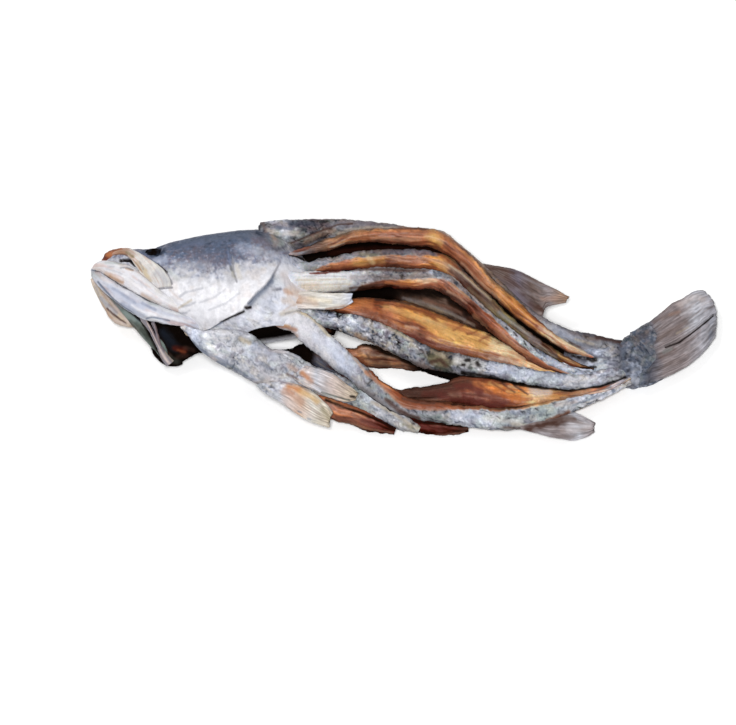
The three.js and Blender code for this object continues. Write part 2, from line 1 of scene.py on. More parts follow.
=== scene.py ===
"""A dried barramundi cut lengthwise into strips, lying on its right side on a pale surface.

Shapes are drawn as they look from 62 degrees above the surface, over the belly, in millimetres:
so far across, so far up the view, so high above the surface. Paint is laid on in the same drawing,
counted across and down from its top left corner.
"""
import math
import bpy
import numpy as np
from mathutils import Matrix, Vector


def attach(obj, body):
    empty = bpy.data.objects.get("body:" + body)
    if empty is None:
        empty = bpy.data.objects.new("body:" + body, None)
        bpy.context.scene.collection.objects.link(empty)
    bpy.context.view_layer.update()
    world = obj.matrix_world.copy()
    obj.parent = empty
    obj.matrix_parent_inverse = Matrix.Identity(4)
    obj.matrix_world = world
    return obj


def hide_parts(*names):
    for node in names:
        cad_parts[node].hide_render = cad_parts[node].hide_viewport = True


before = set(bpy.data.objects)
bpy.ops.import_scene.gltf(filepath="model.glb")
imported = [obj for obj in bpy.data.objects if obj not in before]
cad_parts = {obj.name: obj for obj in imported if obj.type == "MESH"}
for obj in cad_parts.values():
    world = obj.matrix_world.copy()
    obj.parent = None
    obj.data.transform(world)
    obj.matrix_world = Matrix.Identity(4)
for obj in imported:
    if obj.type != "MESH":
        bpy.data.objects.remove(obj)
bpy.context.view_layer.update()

TILT = math.radians(62)
UP_Y, UP_Z = math.sin(TILT), math.cos(TILT)
VIEWER = np.array([0, -UP_Z, UP_Y])
# The height of the fish's own middle plane above the surface
MIDDLE = 36.0
# The middle of the drawing, counted across and down from its corner
DRAWING = 404, 327
# From the middle of the drawing to the fish's own frame
SHIFT = np.array([-0.489, 14.111, 0])
# The size of a mesh cell, in millimetres
FINE = 1.0
# The height of the lowest point above the surface
LOWEST = 0.15
# How light skin and flesh are on average, from 0 to 1
SKIN_LIGHT, FLESH_LIGHT = 0.69, 0.46
# The share of a painted colour's lightness that goes to the material
PAINT_LEVEL = 0.92
SIDES = "_left", "_right"

# Tones. Black serves the dark eyes and, mostly, the painted shade in gaps, seams and hollows
PALETTE = {
    "white": "e2e2e8", "bone": "d2cec6", "cream": "d8c6a2", "lilac": "b6bcce", "silver": "b0b1b9",
    "ash": "86858b", "slate": "5a6478", "navy": "242e3e", "nape": "616b86", "plum": "6a606c",
    "olive": "706848", "moss": "3a3e38", "gold": "cda266", "amber": "b8844c", "orange": "bd7440",
    "tan": "9c7558", "clay": "a0684c", "salmon": "b38770", "rust": "7a4229", "red": "561a10",
    "umber": "452e27", "soot": "0d0806", "pink": "c8b8b2", "blush": "cbab94", "sage": "74827e",
    "sand": "b5a58c", "mist": "a6b0ae", "fog": "9c9aa2", "dusk": "465268", "pale": "d2d0d6",
    "bark": "64524c", "chalk": "f0eef0", "dove": "857a7b", "dim": "50505c", "loam": "705440",
    "peat": "4a3a32",
}
PALETTE = {k: np.array([int(v[i:i + 2], 16) / 255 for i in (0, 2, 4)]) for k, v in PALETTE.items()}


# Noise

RANDOM = np.random.default_rng(11)
SHUFFLED = np.concatenate([RANDOM.permutation(256)] * 2)
SLOPES = RANDOM.normal(size=(256, 3))
SLOPES /= np.linalg.norm(SLOPES, axis=1)[:, None]


def noise(p, seed):
    """Smooth noise from -1 to 1 at points p, whose features are about 1 across."""
    p = p + seed * 17.31
    i = np.floor(p).astype(int)
    f = p - i
    u = f * f * f * (f * (f * 6 - 15) + 10)
    out = np.zeros(len(p))
    for k in range(8):
        d = np.array([k & 1, k >> 1 & 1, k >> 2 & 1])
        c = (i + d) & 255
        g = SLOPES[SHUFFLED[SHUFFLED[SHUFFLED[c[:, 0]] + c[:, 1]] + c[:, 2]]]
        w = np.prod(np.where(d, u, 1 - u), axis=1)
        out += w * np.einsum("ij,ij->i", g, f - d)
    return out * 1.7


def layers(p, size, octaves, seed):
    """Layers of noise, each half as large and 0.55 times as strong as the one before."""
    total, weight, out = 0, 1, 0
    for k in range(octaves):
        out = out + weight * noise(p * (2 ** k / size), seed + k)
        total += weight
        weight *= 0.55
    return out / total


def cells(u, v, seed, jitter):
    """Staggered rows of cells: distance to the nearest centre and the next, how far past it, its chance."""
    row, best, second = np.floor(v), np.full(len(u), 9.0), np.full(len(u), 9.0)
    past, chance = np.zeros(len(u)), np.zeros(len(u))
    for dv in (-1, 0, 1):
        r = row + dv
        staggered = u + 0.5 * (r % 2)
        column = np.floor(staggered)
        for du in (-1, 0, 1):
            c = column + du
            h = SHUFFLED[(SHUFFLED[(c.astype(int) + seed) & 255] + r.astype(int)) & 255]
            g = SLOPES[h]
            x, y = staggered - (c + 0.5 + jitter * 0.5 * g[:, 0]), v - (r + 0.5 + jitter * 0.5 * g[:, 1])
            d = np.hypot(x, y)
            near = d < best
            second = np.where(near, best, np.minimum(second, d))
            best, past = np.where(near, d, best), np.where(near, x, past)
            chance = np.where(near, h / 256, chance)
    return best, second, past, chance


def step(low, high, x):
    """A smooth change from 0 at low to 1 at high."""
    t = np.clip((x - low) / (high - low), 0, 1)
    return t * t * (3 - 2 * t)


# Curves and the surfaces that follow them

def smooth(rows, place):
    """Rows of numbers as a smooth curve, at fractional row numbers."""
    rows = np.asarray(rows, float)
    full = np.vstack([2 * rows[0] - rows[1], rows, 2 * rows[-1] - rows[-2]])
    i = np.clip(np.floor(place).astype(int), 0, len(rows) - 2)
    t = (place - i)[:, None]
    a, b, c, d = full[i], full[i + 1], full[i + 2], full[i + 3]
    return b + 0.5 * t * (c - a + t * (2 * a - 5 * b + 4 * c - d + t * (3 * (b - c) + d - a)))


def as_seen(across, up, height):
    """Points in space, from where they are in the view and how high they are."""
    return np.stack([across, (up - height * UP_Z) / UP_Y, height], -1)


def other_side(height):
    """The same height on the other side of the fish's middle plane."""
    return 2 * MIDDLE - height


def unit(vectors):
    """The same directions with a length of 1."""
    return vectors / np.linalg.norm(vectors, axis=-1, keepdims=True)


def even(rows, cell):
    """Places along a table, spaced evenly along its line."""
    place = np.linspace(0, len(rows) - 1, 800)
    r = smooth(rows, place)
    line = as_seen(r[:, 0], r[:, 1], r[:, 2])
    run = np.concatenate([[0], np.cumsum(np.linalg.norm(np.diff(line, axis=0), axis=1))])
    count = max(int(run[-1] / cell), 6)
    return np.interp(np.linspace(0, run[-1], count + 1), run, place), np.linspace(0, run[-1], count + 1)


class Piece:
    """A closed skin of rings, with paint and relief on it.

    rings is (rings, points round, 3), run is how far along each ring lies, across is where each point of a
    ring lies between the edges, at -1 and 1, and girth is the half width.
    """

    def __init__(self, name, rings, run, across, girth, mirror=False):
        self.name, self.shape = name, rings.shape[:2]
        self.p = rings.reshape(-1, 3)
        self.run = np.broadcast_to(run, self.shape).reshape(-1).astype(float)
        self.across = np.broadcast_to(across, self.shape).reshape(-1).astype(float)
        self.girth = np.broadcast_to(girth, self.shape).reshape(-1)
        self.over = self.across * np.maximum(self.girth, 1)
        along = np.gradient(rings, axis=0)
        around = np.roll(rings, -1, 1) - np.roll(rings, 1, 1)
        n = np.cross(along, around)
        n /= np.maximum(np.linalg.norm(n, axis=-1), 1e-9)[..., None]
        if np.sum(n * (rings - rings.mean(1, keepdims=True))) < 0:
            n = -n
        self.n = n.reshape(-1, 3)
        q = self.p.copy()
        facing = self.n.copy()
        low = np.full(len(q), mirror) if isinstance(mirror, bool) else mirror
        q[:, 2] = np.where(low, other_side(q[:, 2]), q[:, 2])
        facing[:, 2] = np.where(low, -facing[:, 2], facing[:, 2])
        self.x = q[:, 0] + DRAWING[0]
        self.y = DRAWING[1] - (q[:, 1] * UP_Y + q[:, 2] * UP_Z)
        self.face = facing @ VIEWER
        self.q = q
        self.colour = np.tile(PALETTE["silver"], (len(self.p), 1))
        self.depth = np.zeros(len(self.p))
        self.rough = np.full(len(self.p), 0.55)
        self.grain = False

    def share(self, mask):
        """A mask as a share of each vertex's colour."""
        return np.clip(np.broadcast_to(mask, len(self.p)), 0, 1)[:, None]

    def streaks(self, far, over, seed):
        """Noise drawn out along the piece."""
        return layers(np.stack([self.run / far, over, self.p[:, 2] * 0.02], -1), 1, 2, seed)

    def patches(self, low, high, size, seed):
        """Patches of noise, from 0 to 1."""
        return step(low, high, layers(self.q, size, 2, seed))

    def wash(self, name, mask=1.0):
        """Covers with a tone, or with one colour for each vertex."""
        target = PALETTE[name] if isinstance(name, str) else name
        w = self.share(mask)
        self.colour = self.colour * (1 - w) + target * w

    def tone(self, name, mask=1.0, against=SKIN_LIGHT):
        """Turns towards a tone made lighter or darker with what it covers."""
        light = self.colour.mean(1, keepdims=True) / against
        w = self.share(mask)
        self.colour = self.colour * (1 - w) + np.clip(PALETTE[name] * light, 0, 1) * w

    def away(self, points):
        """Distance in the drawing from each vertex to a line of points: positive on its left."""
        best = np.full(len(self.p), 1e9)
        sign = np.ones(len(self.p))
        for (ax, ay), (bx, by) in zip(points[:-1], points[1:]):
            dx, dy = bx - ax, by - ay
            t = np.clip(((self.x - ax) * dx + (self.y - ay) * dy) / (dx * dx + dy * dy), 0, 1)
            d = np.hypot(self.x - ax - t * dx, self.y - ay - t * dy)
            side = np.sign(dy * (self.x - ax) - dx * (self.y - ay))
            near = d < best
            best, sign = np.where(near, d, best), np.where(near, side, sign)
        return best * sign

    def stroke(self, name, width, strength, points, depth=0.0, soft=0.8, wobble=0.45):
        """A brush stroke along points of the drawing, which can also raise or sink the surface."""
        d = np.abs(self.away(points)) + wobble * width * self.wander + 0.4 * min(width, 3) * self.fray
        mask = 1 - step(width * (1 - soft), width * (1 + 0.55 * soft), d)
        mask = mask * step(-0.25, 0.15, self.face)
        self.wash(name, mask * strength * np.clip(0.9 + 0.5 * self.fray, 0, 1))
        self.depth += depth * mask

    def paint(self, strokes):
        """Lays on strokes, whose edges fray along the grain."""
        self.wander = layers(self.q, 7, 2, 3)
        if self.grain:
            self.fray = self.streaks(13, self.over / 1.5, 4)
        else:
            self.fray = layers(self.q, 2.6, 2, 4)
        for s in strokes:
            self.stroke(*s)

    def shade(self, amount):
        """Lightens or darkens."""
        self.colour = np.clip(self.colour * (1 + amount)[:, None], 0, 1)

    def tint(self, stops, mask=1.0):
        """Tones that pass into one another from left to right."""
        xs = [x for x, _ in stops]
        tones = np.array([PALETTE[name] for _, name in stops])
        at = self.x + 5 * layers(self.q, 14, 2, 103)
        self.wash(np.stack([np.interp(at, xs, tones[:, k]) for k in range(3)], -1), mask)

    def skin(self, mask=1.0, size=6.0, rough=1.0):
        """Dry skin: mottled in patches drawn out along the strip, with wrinkles and the print of scales,
        whose creases are darkened as painted shade.
        """
        u, v = self.run + 3 * layers(self.q, 10, 2, 5), self.over + 3 * layers(self.q, 10, 2, 6)

        def patch(wide, seed, far=1.7):
            return layers(np.stack([u / (wide * far), v / wide, 0 * u], -1), 1, 2, seed)

        big, mid, small, grit = patch(15, 5), patch(5.5, 8), patch(2.7, 13, 1.4), layers(self.q, 1.7, 1, 14)
        mottle = 1.1 * mid + 1.0 * small + 0.3 * grit
        nearest, second, past, chance = cells(u / size, v / (size * 0.8), 3, 0.6)
        crease = (1 - step(0.02, 0.22, second - nearest)) * step(-0.2, 0.35, patch(14, 27))
        line = (1 - step(0.0, 0.09, np.abs(patch(6.5, 17, 2.4)))) * step(-0.05, 0.3, patch(10, 19))
        m = mask * rough
        self.tone("lilac", m * 0.55 * step(-0.05, 0.35, patch(9, 23)))
        self.tone("mist", m * 0.50 * step(0.02, 0.4, patch(8, 24)))
        self.tone("sand", m * 0.28 * step(0.10, 0.45, patch(7, 21)))
        self.tone("plum", m * 0.34 * step(0.08, 0.45, patch(5, 26)))
        self.tone("slate", m * 0.55 * step(0.10, 0.9, -mottle))
        self.tone("white", m * 0.38 * step(0.20, 1.0, mottle))
        # Painted shade: the creases of the scale print and the wrinkle lines are darkened here, and sunk
        # below
        self.shade(m * (0.14 * big + 0.12 * mid + 0.12 * small + 0.08 * grit - 0.14 * crease - 0.38 * line
                        + 0.04 * (chance - 0.5)))
        self.depth += mask * (0.7 * big + 0.35 * mid + 0.28 * small
                              - 0.2 * crease - 0.55 * line + 0.12 * past)

    def flesh(self, mask=1.0, length=30.0, fibre=2.2, rough=1.0):
        """Dried flesh: fibres along the strip, with the furrows between them and its edges darkened as
        painted shade.
        """
        self.grain = True
        t = self.over + 3 * layers(self.q, 30, 2, 31)
        fine = self.streaks(length * 0.5, t / (fibre * 0.5), 33)
        mid = self.streaks(length, t / (fibre * 1.3), 35)
        wide = self.streaks(length * 1.6, t / (fibre * 3), 37)
        lump, spot = layers(self.q, 12, 2, 41), layers(self.q, 3.5, 2, 43)
        # Painted shade: the furrows are toned umber and the rim along both edges is darkened, below
        furrow = (1 - step(0.0, 0.10, np.abs(mid + 0.2 * fine))) * step(-0.1, 0.4, wide + 0.5 * lump)
        rim = step(0.75, 1.0, np.abs(self.across)) * step(0, 0.3, self.girth - 4)
        m = np.broadcast_to(mask, len(self.p)) * rough
        self.tone("rust", m * 0.6 * step(0.0, 0.45, -wide - 0.4 * fine + 0.3 * spot), FLESH_LIGHT)
        self.tone("red", m * 0.4 * step(0.15, 0.6, -wide - 0.4 * mid), FLESH_LIGHT)
        self.tone("gold", m * 0.35 * step(0.1, 0.5, wide + 0.5 * mid), FLESH_LIGHT)
        self.tone("salmon", m * 0.22 * step(0.1, 0.5, lump + 0.4 * fine), FLESH_LIGHT)
        self.tone("umber", m * 0.5 * furrow, FLESH_LIGHT)
        grey = self.colour.mean(1, keepdims=True)
        self.colour = np.clip(grey + (self.colour - grey) * (1 + 0.18 * m)[:, None], 0, 1)
        self.shade(m * (0.26 * fine + 0.24 * mid + 0.18 * wide + 0.16 * lump + 0.12 * spot - 0.3 * rim))
        self.depth += mask * (0.25 * fine + 0.5 * mid + 0.6 * wide
                              + 0.8 * lump + 0.12 * spot - 0.45 * furrow)

    def rays(self, count, mask, height):
        """A fin's rays, which fork towards its edge, with the dried web sunk between them."""
        self.grain = True
        share = self.run / self.run.max()
        t = (self.across + 0.04 * layers(self.q, 12, 2, 51)) * count / 2
        fork = step(0.35, 0.8, share)
        ridge = 0.5 + 0.5 * ((1 - fork) * np.cos(2 * math.pi * t) + fork * np.cos(4 * math.pi * t))
        streak = self.streaks(26, self.across * count * 0.45, 55)
        grain = self.streaks(9, self.across * count * 1.3, 56)
        blot = layers(self.q, 9, 2, 57)
        self.tone("bark", mask * 0.35 * step(0.05, 0.5, -streak + 0.2 * blot), 0.6)
        self.tone("pale", mask * 0.30 * step(0.1, 0.5, streak), 0.6)
        self.shade(mask * (0.22 * (ridge - 0.5) + 0.20 * grain + 0.10 * streak + 0.06 * blot))
        self.depth += mask * (height * (ridge - 0.5) + 0.12 * grain + 0.25 * streak)

    def build(self, material, rough=None):
        """Makes the mesh, in metres, with its paint and its dullness."""
        if rough is not None:
            self.rough[:] = rough
        p = self.p + self.n * self.depth[:, None]
        p[:, 2] = np.maximum(p[:, 2], LOWEST)
        ends = with_ends(p, self.shape)
        mesh = closed_mesh(self.name, (ends + SHIFT) / 1000, *faces(*self.shape))
        c = with_ends(self.colour, self.shape) * PAINT_LEVEL
        linear = np.where(c <= 0.04045, c / 12.92, ((c + 0.055) / 1.055) ** 2.4)
        tint = mesh.color_attributes.new("tint", "FLOAT_COLOR", "POINT")
        tint.data.foreach_set("color", np.column_stack([linear, np.ones(len(c))]).astype(np.float32).ravel())
        dull = mesh.attributes.new("dull", "FLOAT", "POINT")
        matt = self.rough + (1 - self.rough) * (1 - step(0.15, 0.55, self.colour.max(1)))
        dull.data.foreach_set("value", np.append(matt, [0.9, 0.9]).astype(np.float32))
        mesh.materials.append(material)
        obj = bpy.data.objects.new(self.name, mesh)
        bpy.context.scene.collection.objects.link(obj)
        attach(obj, "root")
        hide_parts("barramundi")


def with_ends(values, shape):
    """The values of all vertices, and then those in the middle of the first and of the last ring."""
    grid = values.reshape(*shape, 3)
    return np.vstack([values, grid[0].mean(0), grid[-1].mean(0)])


def faces(rings, around):
    """The four-sided faces between the rings, and the fans that close both ends."""
    here, after = np.arange(around), (np.arange(around) + 1) % around
    row = np.arange(rings - 1)[:, None] * around
    i, j = row + here, row + after
    quads = np.stack([i, j, j + around, i + around], -1).reshape(-1, 4)
    end, middle = (rings - 1) * around, rings * around
    fans = np.concatenate([np.stack([after, here, np.full(around, middle)], -1),
                           np.stack([end + here, end + after, np.full(around, middle + 1)], -1)])
    return quads, fans


def closed_mesh(name, places, quads, fans):
    """A smooth mesh whose faces look outwards."""
    corners = np.concatenate([quads[:, [0, 1, 2]], quads[:, [0, 2, 3]], fans])
    a, b, c = places[corners[:, 0]], places[corners[:, 1]], places[corners[:, 2]]
    if np.einsum("ij,ij->", a, np.cross(b, c)) < 0:
        quads, fans = quads[:, ::-1], fans[:, ::-1]
    loops = np.concatenate([quads.ravel(), fans.ravel()]).astype(np.int32)
    starts = np.concatenate([np.arange(len(quads)) * 4, len(quads) * 4 + np.arange(len(fans)) * 3])
    mesh = bpy.data.meshes.new(name)
    mesh.vertices.add(len(places))
    mesh.vertices.foreach_set("co", places.astype(np.float32).ravel())
    mesh.loops.add(len(loops))
    mesh.loops.foreach_set("vertex_index", loops)
    mesh.polygons.add(len(starts))
    mesh.polygons.foreach_set("loop_start", starts.astype(np.int32))
    mesh.update(calc_edges=True)
    mesh.polygons.foreach_set("use_smooth", np.ones(len(starts), bool))
    return mesh


def uneven(run, seed):
    """A torn edge's wander along its run."""
    p = np.stack([run, np.full(len(run), seed * 7.7), np.zeros(len(run))], -1)
    return 1.1 * noise(p / 17, seed) + 0.7 * noise(p / 6, seed + 1) + 0.45 * noise(p / 2.4, seed + 2)


def torn_edges(name, run, across):
    """How far out each edge of a piece wanders, on its own side."""
    key = sum(map(ord, name)) % 40
    return np.where(across[None] > 0, uneven(run, key)[:, None], uneven(run, key + 50)[:, None])


def crowned(centre, side, face, out, rise):
    """Rings round a line, so far out to its side and so far up from its face."""
    return centre[:, None] + side[:, None] * out[..., None] + face[:, None] * rise[..., None]


def across_places(width, cell):
    """Places round a ribbon, as the share of its half width, and whether each is on its upper side."""
    top = max(int(2.3 * width / (FINE * cell)), 6)
    under = max(top // 2, 4)
    angle = np.concatenate([np.linspace(0, math.pi, top, endpoint=False),
                            np.linspace(math.pi, 2 * math.pi, under, endpoint=False)])
    return np.cos(angle), angle < math.pi


def ribbon(name, rows, square=2.2, ridge=0.0, mirror=False, cell=1.0, torn=1.0):
    """A ribbon along stations: across, up, height, half width, half thickness, roll in degrees."""
    rows = np.array(rows, float)
    place, run = even(rows, FINE * cell)
    r = smooth(rows, place)
    centre = as_seen(r[:, 0], r[:, 1], r[:, 2])
    width, thick, roll = np.maximum(r[:, 3], 0.4), np.maximum(r[:, 4], 0.3), np.radians(r[:, 5])
    along = unit(np.gradient(centre, axis=0))
    side = unit(np.cross(VIEWER, along))
    face = np.cross(along, side)
    cos, sin = np.cos(roll)[:, None], np.sin(roll)[:, None]
    side, face = side * cos + face * sin, face * cos - side * sin
    a, front = across_places(rows[:, 3].max(), cell)
    shifted = np.abs((a - ridge) / np.where(a > ridge, 1 - ridge, 1 + ridge))
    crown = np.clip(1 - shifted ** square, 0, 1) ** (1 / square) * np.where(front, 1.0, -1.0)
    small = np.clip(width / 6, 0.1, 1) * torn
    out = a[None] * (width[:, None] + small[:, None] * torn_edges(name, run, a))
    rings = crowned(centre, side, face, out, crown[None] * thick[:, None])
    if mirror:
        rings[..., 2] = other_side(rings[..., 2])
    return Piece(name, rings, run[:, None], a[None], width[:, None], mirror)


def sheet(name, rows, square=3.0, ragged=0.0, bulge=0.0, mirror=False, cell=0.9, torn=0.5):
    """A sheet between two edges: across, up, height of one, the same of the other, half thickness."""
    rows = np.array(rows, float)
    middle = np.column_stack([(rows[:, 0:3] + rows[:, 3:6]) / 2, np.zeros((len(rows), 3))])
    place, run = even(middle, FINE * cell)
    r = smooth(rows, place)
    high, low = as_seen(r[:, 0], r[:, 1], r[:, 2]), as_seen(r[:, 3], r[:, 4], r[:, 5])
    centre, side = (high + low) / 2, (high - low) / 2
    width = np.linalg.norm(side, axis=1)
    along = unit(np.gradient(centre, axis=0))
    face = unit(np.cross(along, side))
    face *= np.where(face @ VIEWER < 0, -1, 1)[:, None]
    a, front = across_places(width.max(), cell)
    crown = np.clip(1 - np.abs(a) ** square, 0, 1) ** (1 / square) * np.where(front, 1, -1)
    out = a[None] * (1 + torn * torn_edges(name, run, a) / width.max())
    rings = crowned(centre, side, face, out, crown[None] * np.maximum(r[:, 6], 0.3)[:, None])
    share = np.linspace(0, 1, len(r))[:, None]
    tips = np.stack([a * 5, np.zeros(len(a)), np.zeros(len(a))], -1)
    reach = ragged * (noise(tips, 61) + 0.8 * noise(tips * 2.7, 62)) + bulge * (1 - a ** 2)
    rings = rings + along[-1][None, None] * (share ** 8 * reach[None])[..., None]
    if mirror:
        rings[..., 2] = other_side(rings[..., 2])
    return Piece(name, rings, run[:, None], a[None], width[:, None], mirror)


def on_trunk(rows):
    """The same stations on the trunk's skin, where the third number is the lift off it."""
    out = []
    for x, up, lift, *rest in rows:
        low, high = 0.0, len(TRUNK) - 1.0
        for _ in range(30):
            middle = (low + high) / 2
            low, high = (middle, high) if smooth(TRUNK, np.array([middle]))[0, 0] < x else (low, middle)
        centre, height, half = trunk_section(np.array([low]))
        off = up - (centre[0, 1] * UP_Y + centre[0, 2] * UP_Z)
        k = 1 / (height[0] * UP_Y) ** 2
        a, b, c = UP_Z ** 2 * k + 1 / half[0] ** 2, -2 * off * UP_Z * k, off ** 2 * k - 1
        root = math.sqrt(max(b * b - 4 * a * c, 0))
        out.append((x, up, MIDDLE + (root - b) / (2 * a) + lift, *rest))
    return out


def trunk_section(place):
    """The trunk's middle, half height and half thickness at places along it."""
    r = smooth(TRUNK, place)
    rise = (r[:, 1] - r[:, 2]) / 2
    height = np.sqrt(np.maximum(rise ** 2 - (r[:, 3] * UP_Z) ** 2, 1)) / UP_Y
    return as_seen(r[:, 0], (r[:, 1] + r[:, 2]) / 2, np.full(len(r), MIDDLE)), height, r[:, 3]


def edges_on_trunk(rows):
    """The same stations of a sheet with both edges on the trunk's skin."""
    high = on_trunk([(r[0], r[1], r[2]) for r in rows])
    low = on_trunk([(r[3], r[4], r[5]) for r in rows])
    return [(*h, *l, r[6]) for h, l, r in zip(high, low, rows)]


# Stations of the ribbons: across, up, height, half width, half thickness, roll in degrees
# Stations of the trunk: across, its top and its bottom edge up the view, half thickness

TRUNK = [(-305, 71, 64, 5), (-299, 76, 58, 10), (-288, 78, 50, 15), (-272, 79, 38, 20),
    (-254, 80, 25, 25), (-232, 87, 9, 30), (-204, 93, -3, 34), (-176, 97, -11, 37),
    (-150, 99, -16, 38), (-134, 98, -15, 36.5), (-120, 91, -13, 32.5), (-106, 76, -9, 25),
    (-92, 60, 7, 17), (-78, 49, 18, 9)]
LIP = [(-313, 58.5, 36, 3, 5, 0), (-308.5, 60.5, 45, 5, 6, 0), (-301, 60.5, 50, 7.5, 6, -6),
    (-291, 56.5, 53, 9.5, 6, -8), (-278, 50.5, 55, 11, 6, -8), (-263, 40.5, 56, 10, 6, -6),
    (-248, 31, 54.5, 7.5, 6, -4), (-234, 23.5, 52, 6, 4.2, 0), (-221, 17.5, 48, 4.5, 3, 0),
    (-210, 13, 44, 3, 2, 0)]
MANDIBLE = [(-312.5, 54, 36, 3, 5, 0), (-309, 51, 44, 5.5, 5, -10), (-300, 43.5, 50, 7, 5, -14),
    (-288, 34.5, 54, 8, 5, -14), (-273, 25, 56, 9.3, 5, -12), (-258, 17, 56, 9.3, 5.5, -6),
    (-242, 12, 53, 8.3, 5.5, 0), (-226, 7.5, 49, 6.3, 4.5, 0), (-212, 4, 43, 4.6, 3.5, 0),
    (-200, 1, 36, 3, 3, 0)]
RIGHT_MANDIBLE = [(-315, 50, 34, 2.5, 4, 0), (-310.5, 41, 30, 3.8, 4.5, 0),
    (-305, 31.5, 26, 4.8, 5, 0), (-298, 21.5, 23, 5.8, 5, 0), (-290.5, 12.5, 20, 7.4, 5, 0),
    (-281, 7.5, 18, 6.5, 5, 0), (-270, 5, 16, 5.5, 5, 0), (-256, 1, 16, 6, 5, 0),
    (-242, -3, 18.5, 6, 5, 0), (-226, -6, 22, 5, 4.5, 0), (-212, -5.9, 27, 4, 4, 0)]
SNOUT = [(-304, 67.5, -3, 3.5, 4, 0), (-298, 72, -3, 4.8, 5, 0), (-289, 75.5, -4, 4.5, 5, 0),
    (-277, 75.5, -4, 3, 4, 0)]
GULAR = [(-303, 41, 29, 4, 5, 20), (-291.5, 28.5, 24, 6.5, 6, 20), (-280, 18, 22, 8, 7, 20),
    (-268, 8, 22, 9.5, 7, 15), (-256, -4.5, 22, 9, 6, 10), (-246.5, -18, 20, 7, 4, 0),
    (-240.5, -29.5, 19, 4.2, 2.5, 0)]
ISTHMUS = [(-262, 10, 50, 2.4, 3.5, 0), (-254, -2, 44, 2.2, 3, 0), (-247, -16, 33, 2.2, 3, 0),
    (-240, -29, 24, 3.8, 3, 0), (-234.5, -36.5, 19, 4.6, 2.5, 0)]
GILL_CURTAIN = [(-256, 8.5, 31, 6, 4, 0), (-242, -7, 24, 17, 4, 0), (-232.5, -17, 20, 22.5, 4, 0),
    (-222, -17, 20, 18.5, 4, 0), (-210, -17.5, 20, 10, 4, 0), (-198, -19.5, 22, 6.5, 5, 0)]
SHOULDER_LINING = [(-108, 10, 30, 5, 4, 0), (-93, 4, 27, 6, 4, 0), (-80, -1.5, 25, 5.5, 4, 0),
    (-69, -5.5, 23, 3, 3, 0)]
THROAT = [(-222, 1, 42, 2, 3, 0), (-209, -7.5, 47, 5.5, 6, 0), (-198, -14, 49, 11, 8, 5),
    (-182, -19, 47, 17, 10, 8), (-163, -25, 43, 20.5, 12, 8), (-141, -38, 39, 19, 11, 5),
    (-119, -44.5, 35, 20.5, 10, 0), (-104, -50, 31, 17, 9, 0), (-88, -55, 27, 12, 7, 0)]
BACK_RIDGE = [(-143, 91.5, 47, 12, 12, 0), (-132, 94.5, 50, 14, 13, 0), (-112, 93.5, 47, 16, 14, 0),
    (-84, 97, 40, 13, 15, 0), (-54, 99, 41, 11, 14, 0), (-19, 98, 41, 9, 13, 0),
    (12, 92.8, 41, 8.2, 12, 0), (36, 90.5, 41, 8.3, 12, 0), (66, 68, 37, 7, 11, 0), (96, 39, 33, 7, 11, 0),
    (126, 12, 28, 7, 11, 0), (156, -8, 22, 9, 11, 0), (186, -19.5, 17, 13, 11, 0),
    (216, -27.5, 14, 15.5, 11, 0)]
BACK_FLESH = [(-120, 72.5, 61, 1.5, 3, 0), (-108, 75, 55, 3, 4, 0), (-92, 79.5, 52, 5, 6, 10),
    (-73, 85, 53, 6, 7, 15), (-50, 91.5, 54, 6.5, 8, 15), (-26, 93.2, 54, 7.2, 8, 15),
    (1, 92.2, 54, 9, 9, 15), (31, 89.9, 54, 9.7, 9, 15), (50, 79, 52, 8, 8, 15), (70, 61, 48, 7.5, 8, 15),
    (91, 39, 43, 7.5, 7, 12), (116, 15.5, 37, 7.2, 7, 5), (141, -5, 30, 6.4, 6, 0),
    (166, -21, 25, 4.6, 5, 0), (188, -30, 23, 2.2, 4, 0), (203, -32.5, 21, 1, 3, 0)]
UPPER_STRIP = [(-126, 61, 62, 6, 3, 0), (-112, 59, 57.5, 6.5, 4.5, 0), (-96, 59.5, 50, 6.5, 6, 0),
    (-79, 63, 44, 8, 7, 0), (-50, 67.3, 42, 8.8, 7, 0), (-20, 69.6, 42, 9.8, 7, 0),
    (6, 68.8, 42, 10.6, 7, 0), (36, 65, 42, 10.2, 7, 0), (54, 52.4, 38, 9.4, 6.5, 0),
    (80, 28.8, 33, 7.8, 6, 0), (104, 6.5, 29, 6, 6, 0), (130, -13, 25, 5.2, 5.5, 0),
    (154, -28.5, 22, 4.4, 5, 0), (176, -38.5, 21, 2.6, 4, 0), (190, -42, 19, 1.4, 3, 0)]
MIDDLE_STRIP = [(-130, 46, 61.5, 9, 3, 0), (-112, 45, 59.3, 11, 5, 0), (-92, 45, 56, 11, 6, 0),
    (-66, 45.5, 55, 10.5, 7, 0), (-24, 50, 55, 10.4, 7, 0), (4, 48, 54, 10.6, 7, 0),
    (34, 47, 53, 10.2, 7, 0), (52, 36, 49, 8.8, 7, 0), (76, 14.5, 43, 8, 7, 0), (102, -7, 37, 8, 6, 0),
    (128, -26.5, 31, 7.4, 6, 0), (152, -39.5, 25, 6.2, 5, 0), (178, -48, 20, 4.5, 5, 0),
    (196, -50, 17, 3, 4, 0)]
SIDE_FLESH = [(-94, 26, 38, 7, 6, 0), (-64, 22, 36, 8, 5, -10), (-28, 15.2, 33, 15.6, 6, -20),
    (6, 6, 31, 20, 8, -20), (36, -7, 29, 20, 9, -20), (66, -16.5, 27, 17, 8, -20),
    (96, -26, 25, 13, 7, -15), (126, -37.5, 22, 9, 6, -10), (156, -48, 18, 5, 5, 0)]
